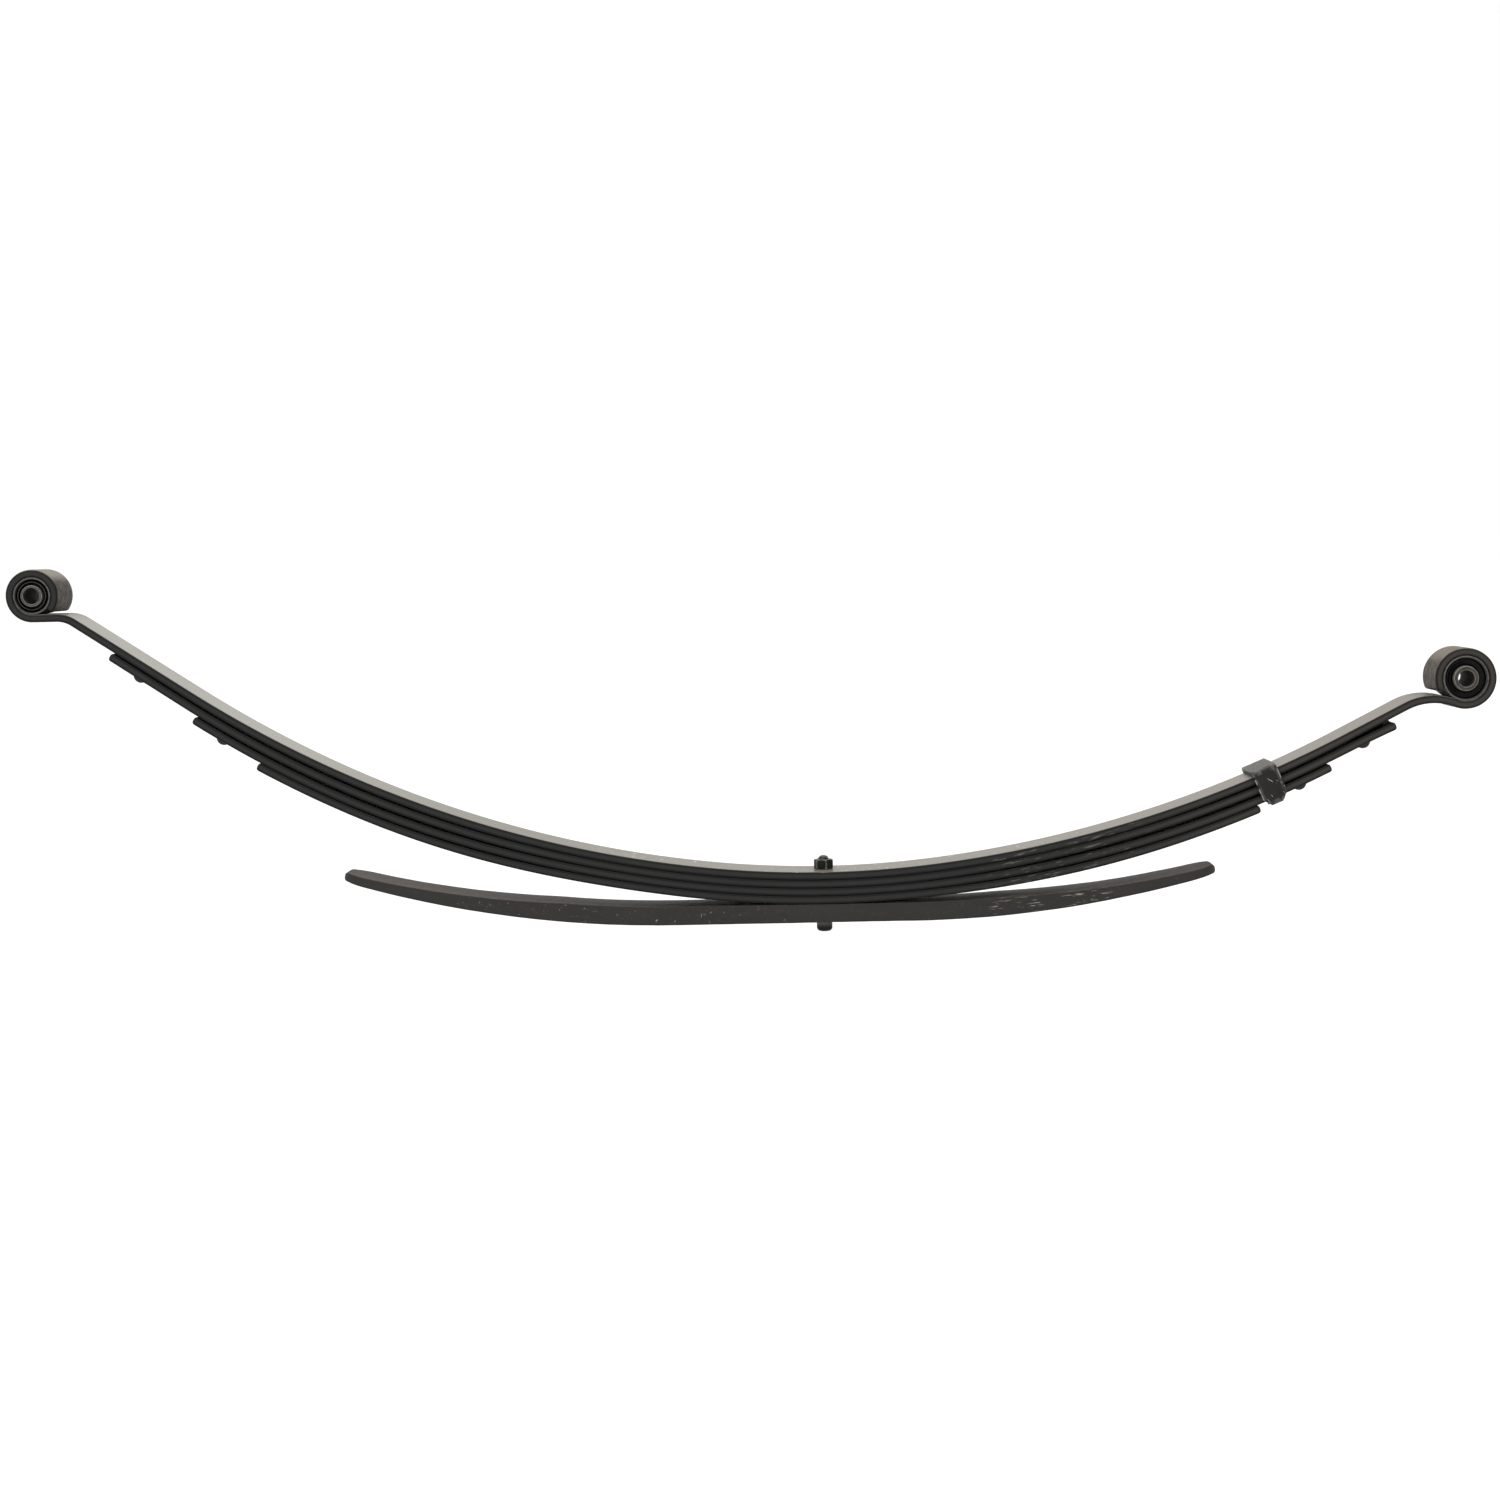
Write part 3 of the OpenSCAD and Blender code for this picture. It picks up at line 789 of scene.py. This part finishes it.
def studio_white(name, level, glow):
    """Plain white studio floor, lit from below so that it keeps no shadow."""
    made, tree, shader = new_material(name, specular=0.0)
    shader.inputs["Emission Color"].default_value = WHITE
    shader.inputs["Emission Strength"].default_value = glow
    place = node(tree, "TexCoord").outputs["Object"]
    soft = node(tree, "TexNoise", {"Vector": place, "Scale": 0.8, "Detail": 2.0}).outputs["Fac"]
    colour = mix(tree, soft, (level,) * 3, (level * 0.985,) * 3)
    connect(tree, shader, colour, spread(tree, soft, 0.85, 0.95), bump(tree, soft, 0.001, 0.02))
    return made


PAINT = leaf_paint()
FORGED = forged_steel()
BOLT = bare_metal("bolt_steel", dark=(0.0045, 0.0044, 0.0042), light=(0.011, 0.0105, 0.010),
                  worn_and_glint_colour=(0.16, 0.155, 0.145), metallic=0.0, roughness=(0.40, 0.58),
                  ridges=(300, 300, 2400), specular=0.12)
SHELL = bare_metal("bush_shell", dark=(0.018, 0.0175, 0.0165), light=(0.036, 0.034, 0.032),
                   worn_and_glint_colour=(0.140, 0.133, 0.120), metallic=0.2, roughness=(0.40, 0.56),
                   ridges=(900, 900, 900))
SLEEVE = bare_metal("sleeve_steel", dark=(0.018, 0.0165, 0.0150), light=(0.044, 0.039, 0.034),
                    worn_and_glint_colour=(0.190, 0.175, 0.155), metallic=0.2, roughness=(0.40, 0.54),
                    ridges=(300, 2600, 300), bore_colour=(0.030, 0.0235, 0.0175))
RUBBER = moulded("bush_rubber", dark=(0.0018, 0.0018, 0.0018), light=(0.0045, 0.0044, 0.0042),
                 crest_and_glint=(0.100, 0.097, 0.090), roughness=(0.10, 0.22), grain_scale=900,
                 depth=0.00006)
PLASTIC = moulded("liner_plastic", dark=(0.014, 0.014, 0.014), light=(0.026, 0.026, 0.025),
                  crest_and_glint=(0.050, 0.050, 0.048), roughness=(0.42, 0.62), grain_scale=1100,
                  depth=0.00010)
CLIP = clip_paint()


def place_piece(made, body, replaced):
    """Puts a piece on the body it rides on and hides the node that it stands for."""
    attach(made, body)
    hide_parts(replaced)


# ---- leaves
LEAF_EDGE_R = 0.0016
EYE_EDGE_R = 0.0020
LEAF_TIP_CORNER = 0.004
LEAF_DENT = 0.00006
FIRST_SEED = 0.1
SEED_STEP = 0.37
# The main leaf counts as curled from just inside the bend's centre, over a fade
CURL_LEAD = 0.02
CURL_FADE = 0.05


def in_frame(side, flat):
    """A [distance, height] pair of one side as a vector in the shared frame."""
    return Vector((side * flat[0], 0, flat[1]))


def curled(side, x):
    """0 along the main leaf's arm, 1 round its eye."""
    start = bend_centre(side)[0] - CURL_LEAD
    return clamp((x - start) / CURL_FADE)


def leaf_sections(k, side):
    """Sections of one half of leaf k, from the bolt to its end."""
    path = main_stations(side) if k == 0 else lower_stations(k, side)
    sections = []
    distance = 0.0
    for i, (point, slope) in enumerate(path):
        if i:
            distance += np.linalg.norm(point - path[i - 1][0])
        normal = up(slope)
        corner = LEAF_EDGE_R
        if k == 0:
            corner += (EYE_EDGE_R - LEAF_EDGE_R) * curled(side, point[0])
        sections.append(Section(
            in_frame(side, point - LEAF_T / 2 * normal), ACROSS, in_frame(side, normal),
            LEAF_W / 2, LEAF_T / 2, corner, side * distance))
    last = sections[-1]
    if k == 0:
        last.half_w -= EYE_EDGE_R / 2
        last.half_t -= EYE_EDGE_R / 2
        return sections
    return sections + round_end(last, in_frame(side, along(path[-1][1])), LEAF_TIP_CORNER)


def half_leaf(k, side):
    """One half of leaf k from the bolt outwards."""
    work = strip_mesh(leaf_sections(k, side), dents=LEAF_DENT, seed=k * SEED_STEP + FIRST_SEED)
    curl = work.verts.layers.float.new("curl")
    covered = work.verts.layers.float.new("covered")
    for vert in work.verts:
        if k == 0:
            vert[curl] = curled(side, abs(vert.co.x))
        else:
            vert[covered] = 1.0
    name = f"{LEAF_NODES[k]}_{SIDE_NAME[side]}_half"
    made = finished(name, work, PAINT, halved=True)
    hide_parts(LEAF_NODES[k])
    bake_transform(made)


for leaf in range(len(LEAF_NODES)):
    for end in SIDES:
        half_leaf(leaf, end)


# ---- overload leaf
OVERLOAD_EDGE_R = 0.0016
OVERLOAD_DENT = 0.0004
OVERLOAD_SEED = 2.3


def overload_path(side):
    """Underside of the overload leaf from the bolt: a flat seat, then a curve up to the tip."""
    flat = OVERLOAD_FLAT[side]
    last = math.asin((OVERLOAD_REACH[side] - OVERLOAD_TIP_T / 2 - flat) / OVERLOAD_R)
    path = [(np.array([flat * i / FLAT_PARTS, 0.0]), 0.0) for i in range(FLAT_PARTS)]
    parts = round(last * OVERLOAD_R / LEAF_STEP)
    for i in range(parts + 1):
        a = last * i / parts
        path.append((np.array([flat, OVERLOAD_R]) - OVERLOAD_R * up(a), a))
    return path


def overload_half_width(into_corner):
    """Half width at a distance past the start of the tip's rounded corners."""
    left = OVERLOAD_CORNER ** 2 - max(0.0, into_corner) ** 2
    return LEAF_W / 2 - (OVERLOAD_CORNER - math.sqrt(max(0.0, left)))


def overload_sections(side):
    """Sections of one half of the overload leaf, thinner towards its rounded tip."""
    path = overload_path(side)
    reach = OVERLOAD_REACH[side]
    sections = []
    for point, slope in path:
        taper = max(0.0, (point[0] - reach + OVERLOAD_TAPER) / OVERLOAD_TAPER)
        half_t = (OVERLOAD_T + (OVERLOAD_TIP_T - OVERLOAD_T) * taper) / 2
        half_w = overload_half_width(point[0] - (reach - OVERLOAD_CORNER))
        normal = up(slope)
        sections.append(Section(
            in_frame(side, point + half_t * normal), ACROSS, in_frame(side, normal),
            half_w, half_t, OVERLOAD_EDGE_R, side * point[0]))
    tip = sections[-1]
    ahead = in_frame(side, along(path[-1][1]))
    for i in range(1, TIP_PARTS + 1):
        a = math.pi / 2 * i / TIP_PARTS
        step = tip.half_t * math.sin(a)
        half_w = overload_half_width(OVERLOAD_CORNER - OVERLOAD_TIP_T / 2 + step)
        sections.append(Section(tip.middle + ahead * step, tip.wide, tip.thick,
                                half_w, tip.half_t * max(math.cos(a), THINNEST),
                                OVERLOAD_EDGE_R, side * (abs(tip.distance) + step)))
    return sections


def overload_leaf():
    """The thick leaf, in one piece from its rear tip to its front tip."""
    rear = overload_sections(REAR)
    work = strip_mesh(rear[:0:-1] + overload_sections(FRONT), dents=OVERLOAD_DENT,
                      seed=OVERLOAD_SEED)
    place_piece(finished("overload_leaf_forged", work, FORGED), "pack",
                "overload_leaf")


overload_leaf()


# ---- centre bolt and nut
HEAD_BOWL = 0.004
HEAD_PARTS = 10
# Edge of the head's upper face, as (distance in from its side, height)
HEAD_EDGE = ((0.0, -0.0006), (0.0005, -0.0001))
# Heights of the fillet's top and of the first plain ring of the shank
SHANK_STARTS = (0.0003, 0.002)
THREAD_BELOW = 0.004
THREAD_RUN_OUT = 0.001
THREAD_STEP = 0.0003
# The point above the thread, as (distance in from the shank, distance below the top)
POINT_H = 0.0022
BOLT_POINT = ((0.0011, 0.0016), (0.0022, 0.0005), (0.0034, 0.0001))
BOLT_POLE_R = 0.0008

NUT_FLATS = 0.0175
NUT_TURN = math.radians(46)
NUT_CLEARANCE = 0.0001
NUT_CHAMFER_UNDER = 0.0008
NUT_CHAMFER_OVER = 0.0009
NUT_CHAMFER_SLOPE = 1.8
NUT_CHAMFER_PARTS = 4
NUT_SIDE_SHARES = (0.3, 0.5, 0.7)
NUT_BORE_CHAMFER = 0.0008


def thread_radius(height):
    """Radius of a V thread at a height, as a function of the angle."""
    def radius(a):
        turn_share = (height / THREAD_PITCH - a / (2 * math.pi)) % 1
        return BOLT_R - THREAD_DEPTH * (1 - abs(2 * turn_share - 1))
    return radius


def center_bolt():
    """Round locating head with a bowl end, plain shank and a threaded, pointed end."""
    lo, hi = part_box("center_bolt")
    head_r = (hi.x - lo.x) / 2
    profile = [(BOLT_POLE_R, lo.z)]
    profile += [(head_r - HEAD_BOWL + HEAD_BOWL * math.sin(a),
                 lo.z + HEAD_BOWL - HEAD_BOWL * math.cos(a)) for a in quarter_turn(HEAD_PARTS)]
    profile += [(head_r - inset, z) for inset, z in HEAD_EDGE]
    thread_start = MAIN_TOP - THREAD_BELOW
    profile += [(BOLT_R, z) for z in (*SHANK_STARTS, thread_start - THREAD_RUN_OUT)]
    thread_end = hi.z - POINT_H
    steps = round((thread_end - thread_start) / THREAD_STEP)
    profile += [(thread_radius(z), z) for z in np.linspace(thread_start, thread_end, steps)]
    profile += [(BOLT_R - inset, hi.z - drop) for inset, drop in BOLT_POINT]
    profile.append((BOLT_POLE_R, hi.z))
    work = turned_mesh(profile, (0, 0, 0), "Z", bored=False)
    place_piece(finished("center_bolt_threaded", work, BOLT), "pack", "center_bolt")


def hexagon(limit):
    """Radius of the nut's hexagon as a function of the angle, no larger than a limit."""
    def radius(a):
        sixth = math.pi / 3
        off = (a - NUT_TURN) % sixth - sixth / 2
        return min(NUT_FLATS / 2 / math.cos(off), limit)
    return radius


def center_nut():
    """Hexagon nut, chamfered above and below, with a bored and chamfered middle."""
    lo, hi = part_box("center_nut")
    height = hi.z - lo.z
    corner_r = NUT_FLATS / 2 / math.cos(math.radians(30))

    def chamfered(drop):
        return hexagon(corner_r + NUT_CLEARANCE - drop * NUT_CHAMFER_SLOPE)

    rising = [i / NUT_CHAMFER_PARTS for i in range(NUT_CHAMFER_PARTS + 1)]
    outer = [(chamfered(NUT_CHAMFER_UNDER * (1 - share)), lo.z + NUT_CHAMFER_UNDER * share)
             for share in rising]
    outer += [(hexagon(corner_r), lo.z + height * share) for share in NUT_SIDE_SHARES]
    outer += [(chamfered(NUT_CHAMFER_OVER * share), hi.z - NUT_CHAMFER_OVER * (1 - share))
              for share in rising]
    bore = BOLT_R + NUT_CLEARANCE
    mouth = bore + NUT_BORE_CHAMFER
    inner = [(mouth, hi.z), (bore, hi.z - NUT_BORE_CHAMFER),
             (bore, lo.z + NUT_BORE_CHAMFER), (mouth, lo.z)]
    work = turned_mesh(outer + inner, (0, 0, 0), "Z", bored=True)
    place_piece(finished("center_nut_hex", work, BOLT), "pack", "center_nut")


center_bolt()
center_nut()


# ---- bushes
SHELL_WALL = 0.0015
SHELL_CHAMFER = 0.0004
SLEEVE_CHAMFER = 0.0005
SLEEVE_BORE_CHAMFER = 0.0006
RIM = 0.00025
RUBBER_GAP = 0.00005
# The rubber's end faces, as (distance in from its outside, depth below the leaf's side): the
# rear one has a lip, the front one is dished
RUBBER_FACE = {REAR: ((0.0, 0.0028), (0.0013, 0.0046), (0.0030, 0.0006), (0.0048, 0.0046)),
               FRONT: ((0.0, 0.0022), (0.0022, 0.0052), (0.0060, 0.0060))}
RUBBER_DEPTH_AT_SLEEVE = {REAR: 0.0040, FRONT: 0.0030}


def tube_profile(outer, inner, half, chamfer, bore_chamfer):
    """Closed outline of a tube about y, chamfered at every end edge."""
    end = [(outer, half - chamfer), (outer - chamfer, half), (outer - chamfer - RIM, half),
           (inner + bore_chamfer + RIM, half), (inner + bore_chamfer, half),
           (inner, half - bore_chamfer)]
    return end + [(radius, -height) for radius, height in end[::-1]]


def rubber_profile(side):
    """Closed outline of the rubber between shell and sleeve, about y."""
    half = LEAF_W / 2
    outer = EYE_R[side] - SHELL_WALL - RUBBER_GAP
    inner = SLEEVE_R[side] + RUBBER_GAP
    face = [(outer - inset, half - drop) for inset, drop in RUBBER_FACE[side]]
    near = smooth_curve(face + [(inner, half - RUBBER_DEPTH_AT_SLEEVE[side])])
    return near + [(radius, -height) for radius, height in near[::-1]]


def bush(side):
    """Outer shell, rubber ring and inner sleeve of one eye."""
    name = SIDE_NAME[side]
    centre = EYE_MOUNT[side].copy()
    centre.y = 0
    shell = tube_profile(EYE_R[side], EYE_R[side] - SHELL_WALL, LEAF_W / 2,
                         SHELL_CHAMFER, SHELL_CHAMFER)
    sleeve = tube_profile(SLEEVE_R[side], BORE_R, size(f"{name}_bush_sleeve").y / 2,
                          SLEEVE_CHAMFER, SLEEVE_BORE_CHAMFER)
    for piece, profile, material, body, slot, replaced in (
            ("outer_shell", shell, SHELL, "end", "bush_shell", "shell"),
            ("rubber_ring", rubber_profile(side), RUBBER, "end", "bush_rubber", "rubber"),
            ("inner_sleeve", sleeve, SLEEVE, "sleeve", "sleeve_steel", "sleeve")):
        work = turned_mesh(profile, centre, "Y", bored=True)
        place_piece(finished(f"{name}_bush_{piece}", work, material), f"{name}_{body}",
                    f"{name}_bush_{replaced}")


for end in SIDES:
    bush(end)


# ---- tip liners and clip
def leaf_frame(k, side, x):
    """Matrix of leaf k's top face at x: X outwards, Z along the normal."""
    point, slope = station(k, side, x)
    out, normal = along(slope), up(slope)
    return Matrix(((side * out[0], 0, side * normal[0], side * point[0]),
                   (0, 1, 0, 0),
                   (out[1], 0, normal[1], point[1]),
                   (0, 0, 0, 1)))


def joined(name, works, material):
    """One object from several closed bmeshes, united where they run into each other."""
    first, *rest = [finished(f"{name}_part", w, material, weighted=False) for w in works]
    for other in rest:
        cut = first.modifiers.new("join", "BOOLEAN")
        cut.operation = "UNION"
        cut.solver = "EXACT"
        cut.object = other
    graph = bpy.context.evaluated_depsgraph_get()
    mesh = bpy.data.meshes.new_from_object(first.evaluated_get(graph))
    for part in (first, *rest):
        bpy.data.objects.remove(part)
    work = bmesh.new()
    work.from_mesh(mesh)
    return finished(name, work, material)


PAD_R = 0.012
BUTTON_R = 0.005
DOME_R = 0.0075
DOME_H = 0.0072
DOME_PARTS = 12
LINER_POLE_R = 0.0006
LINER_EDGE = 0.0003
LINER_EDGE_SHARE = 0.3
# Room between a leaf and the pad on it, and between the liner and the leaf above or its own
PAD_ROOM = 0.00042
LINER_ROOM = 0.0003
WEB_W = 0.012
WEB_GAP = 0.0004
BAR_L = 0.007
BAR_W = 0.046
# How far the bar's ends are rounded: along the leaf, across it and through it
BAR_ROUND = 0.0008
BAR_NARROWING = 0.0006
BAR_THINNING = 0.0002
BAR_EDGE_R = 0.0004
BAR_TRIM = 0.00001


def liner_disc(pad_h):
    """Dome under the leaf, button through it and pad on it, about z from the leaf's top face."""
    under = -LEAF_T - LINER_ROOM
    bottom = under - DOME_H
    top = PAD_ROOM + pad_h
    edge = min(LINER_EDGE, LINER_EDGE_SHARE * pad_h)
    profile = [(max(LINER_POLE_R, DOME_R * math.sin(a)), bottom + DOME_H * (1 - math.cos(a)))
               for a in quarter_turn(DOME_PARTS)]
    profile[-1] = (DOME_R, under - LINER_EDGE)
    profile += [(DOME_R - edge, under), (BUTTON_R, under), (BUTTON_R, PAD_ROOM),
                (PAD_R - edge, PAD_ROOM), (PAD_R, PAD_ROOM + edge), (PAD_R, top - edge),
                (PAD_R - edge, top), (LINER_POLE_R, top)]
    return turned_mesh(profile, (0, 0, 0), "Z", bored=False)


def liner_bar(bar_x, pad_h, bar_h):
    """Web from the pad to the bar across the leaf's end, and the bar itself."""
    bar_end = bar_x + BAR_L
    end_half_w = BAR_W / 2 - BAR_NARROWING
    rows = ((0.0, WEB_W / 2, pad_h), (bar_x - WEB_GAP, WEB_W / 2, pad_h),
            (bar_x, end_half_w, bar_h - BAR_THINNING), (bar_x + BAR_ROUND, BAR_W / 2, bar_h),
            (bar_end - BAR_ROUND, BAR_W / 2, bar_h), (bar_end, end_half_w, bar_h - BAR_THINNING))
    return strip_mesh([Section((x, 0, PAD_ROOM + height / 2), ACROSS, (0, 0, 1), half_w,
                               height / 2 - BAR_TRIM, BAR_EDGE_R, x)
                       for x, half_w, height in rows])


def tip_liner(k, side):
    """Moulded liner at the end of leaf k: disc and bar in one piece."""
    middle = button_x(k, side)
    level = math.cos(station(k, side, middle)[1])
    bar_x = BUTTON_INSET - LEAF_T / 2 - BAR_L

    def height_over(places):
        gaps = [leaf_gap(k, side, place_over(k, side, middle + x * level)) for x in places]
        return min(gaps) - PAD_ROOM - LINER_ROOM

    pad_h = height_over((-PAD_R, 0.0, bar_x))
    bar_h = height_over((bar_x, bar_x + BAR_L))
    works = (liner_disc(pad_h), liner_bar(bar_x, pad_h, bar_h))
    placed = leaf_frame(k, side, middle)
    for work in works:
        bmesh.ops.transform(work, matrix=placed, verts=work.verts)
    name = f"{LEAF_NODES[k]}_{SIDE_NAME[side]}_liner"
    place_piece(joined(f"{name}_moulding", works, PLASTIC), f"{SIDE_NAME[side]}_end",
                name)


CLIP_BEND_R = 0.0035
CLIP_BEND_PARTS = 8
CLIP_STEP = 0.0015
CLIP_EDGE_R = 0.0011
CLIP_DENT = 0.00012
CLIP_SEED = 5.1
EAR_GAP = 0.020
EAR_W = 0.013
EAR_NECK = 0.0055
EAR_END_HALF_W = 0.0012


def clip_path(low):
    """Middle line of the strap from ear to ear, as ((y, z), heading), its ears at a height."""
    side_y = LEAF_W / 2 + CLIP_PLAY + CLIP_T / 2
    top = CLIP_PLAY + CLIP_T / 2
    corners = [(-EAR_GAP / 2, low), (-side_y, low), (-side_y, top), (side_y, top),
               (side_y, low), (EAR_GAP / 2, low)]
    path = [(corners[0], math.pi)]
    for before, here, after in zip(corners, corners[1:], corners[2:]):
        corner = Vector(here)
        back = (Vector(before) - corner).normalized()
        onward = (Vector(after) - corner).normalized()
        centre = corner + (back + onward) * CLIP_BEND_R
        first = math.atan2(-onward.y, -onward.x)
        for i in range(CLIP_BEND_PARTS + 1):
            a = first - math.pi / 2 * i / CLIP_BEND_PARTS
            point = (centre.x + CLIP_BEND_R * math.cos(a), centre.y + CLIP_BEND_R * math.sin(a))
            path.append((point, a - math.pi / 2))
    return path + [(corners[-1], -math.pi)]


def cut_finely(path):
    """The same path with its straight runs cut into steps."""
    cut = []
    for ((y0, z0), first), ((y1, z1), second) in zip(path, path[1:]):
        parts = max(1, round(math.hypot(y1 - y0, z1 - z0) / CLIP_STEP))
        cut += [((y0 + (y1 - y0) * i / parts, z0 + (z1 - z0) * i / parts), second if i else first)
                for i in range(parts)]
    return cut + [path[-1]]


def strap_half_width(y, z, low):
    """Full width round the leaves, narrowing into the ears, which have round ends."""
    from_end = abs(y) - EAR_GAP / 2
    if z < low + CLIP_T / 2 and from_end < EAR_W / 2:
        inset = EAR_W / 2 - from_end
        return math.sqrt(max(0.0, (EAR_W / 2) ** 2 - inset ** 2)) + EAR_END_HALF_W
    narrowed = 1 - clamp((z - low) / EAR_NECK)
    return CLIP_W / 2 + (EAR_W - CLIP_W) / 2 * narrowed


def rebound_clip():
    """Strap over the main leaf, narrowing to two ears that are folded under leaf 3."""
    low = -(LEAF_T + depth(2, FRONT, CLIP_REACH)) - CLIP_PLAY - CLIP_T / 2
    path = cut_finely(clip_path(low))
    sections = []
    distance = 0.0
    for i, ((y, z), heading) in enumerate(path):
        if i:
            distance += math.hypot(y - path[i - 1][0][0], z - path[i - 1][0][1])
        outwards = (0, math.cos(heading + math.pi / 2), math.sin(heading + math.pi / 2))
        sections.append(Section((0, y, z), (1, 0, 0), outwards, strap_half_width(y, z, low),
                                CLIP_T / 2, CLIP_EDGE_R, distance))
    work = strip_mesh(sections, dents=CLIP_DENT, seed=CLIP_SEED)
    bmesh.ops.transform(work, matrix=leaf_frame(0, FRONT, CLIP_REACH), verts=work.verts)
    place_piece(finished("rebound_clip_strap", work, CLIP), "front_end",
                "rebound_clip")


for leaf in (1, 2):
    for end in SIDES:
        tip_liner(leaf, end)
rebound_clip()


# ---- studio
FLOOR_R = 40
FLOOR_SEGMENTS = 128
FLOOR_GAP = 0.0005
FLOOR_LEVEL = 0.12
FLOOR_GLOW = 1.0
LIT_PLACE = (0, 0, 0.15)
CAMERA_PLACE = (-0.015, -3.000, 0.375)
CAMERA_YAW = math.radians(1.089)
CAMERA_PITCH = math.radians(-3.841)
CAMERA_ROLL = math.radians(-1.237)
CAMERA_LENS = 71.275
SENSOR_W = 36
CAMERA_FAR = 200


def floor():
    """Large round pale floor just under the bolt's head."""
    work = bmesh.new()
    bmesh.ops.create_circle(work, cap_ends=True, radius=FLOOR_R, segments=FLOOR_SEGMENTS)
    mesh = bpy.data.meshes.new("studio_floor")
    work.to_mesh(mesh)
    work.free()
    mesh.materials.append(studio_white("floor_white", FLOOR_LEVEL, FLOOR_GLOW))
    made = bpy.data.objects.new("studio_floor", mesh)
    made.location.z = CAD_BOX[0].z - FLOOR_GAP
    bpy.context.scene.collection.objects.link(made)


def area_light(name, place, width, height, power):
    """Soft rectangular light that faces the spring and isn't seen itself."""
    data = bpy.data.lights.new(name, "AREA")
    data.shape = "RECTANGLE"
    data.size = width
    data.size_y = height
    data.energy = power
    made = bpy.data.objects.new(name, data)
    made.location = place
    made.rotation_mode = "QUATERNION"
    made.rotation_quaternion = (Vector(LIT_PLACE) - Vector(place)).to_track_quat("-Z", "Y")
    made.visible_camera = False
    bpy.context.scene.collection.objects.link(made)


def camera():
    """Nearly square on to the side of the spring, a little above its eyes and looking down."""
    yaw, pitch = CAMERA_YAW, CAMERA_PITCH
    ahead = Vector((-math.sin(yaw) * math.cos(pitch), math.cos(yaw) * math.cos(pitch),
                    math.sin(pitch)))
    level = Vector((math.cos(yaw), math.sin(yaw), 0))
    upright = level.cross(ahead)
    right = level * math.cos(CAMERA_ROLL) + upright * math.sin(CAMERA_ROLL)
    top = upright * math.cos(CAMERA_ROLL) - level * math.sin(CAMERA_ROLL)
    data = bpy.data.cameras.new("camera")
    data.lens = CAMERA_LENS
    data.sensor_width = SENSOR_W
    data.clip_end = CAMERA_FAR
    made = bpy.data.objects.new("camera", data)
    turned = Matrix((right, top, -ahead)).transposed().to_4x4()
    made.matrix_world = Matrix.Translation(CAMERA_PLACE) @ turned
    bpy.context.scene.collection.objects.link(made)
    bpy.context.scene.camera = made


def world():
    """Even white surroundings."""
    made = bpy.data.worlds.new("studio")
    made.use_nodes = True
    back = made.node_tree.nodes["Background"]
    back.inputs["Color"].default_value = WHITE
    back.inputs["Strength"].default_value = 1.0
    bpy.context.scene.world = made


floor()
area_light("key", place=(-1.5, -1.2, 3.0), width=3.0, height=2.0, power=60)
area_light("fill", place=(2.0, -0.6, 2.6), width=2.5, height=2.0, power=30)
area_light("back", place=(-1.2, 3.2, 1.1), width=4.0, height=1.6, power=4)
camera()
world()
bpy.context.scene.view_settings.view_transform = "Standard"
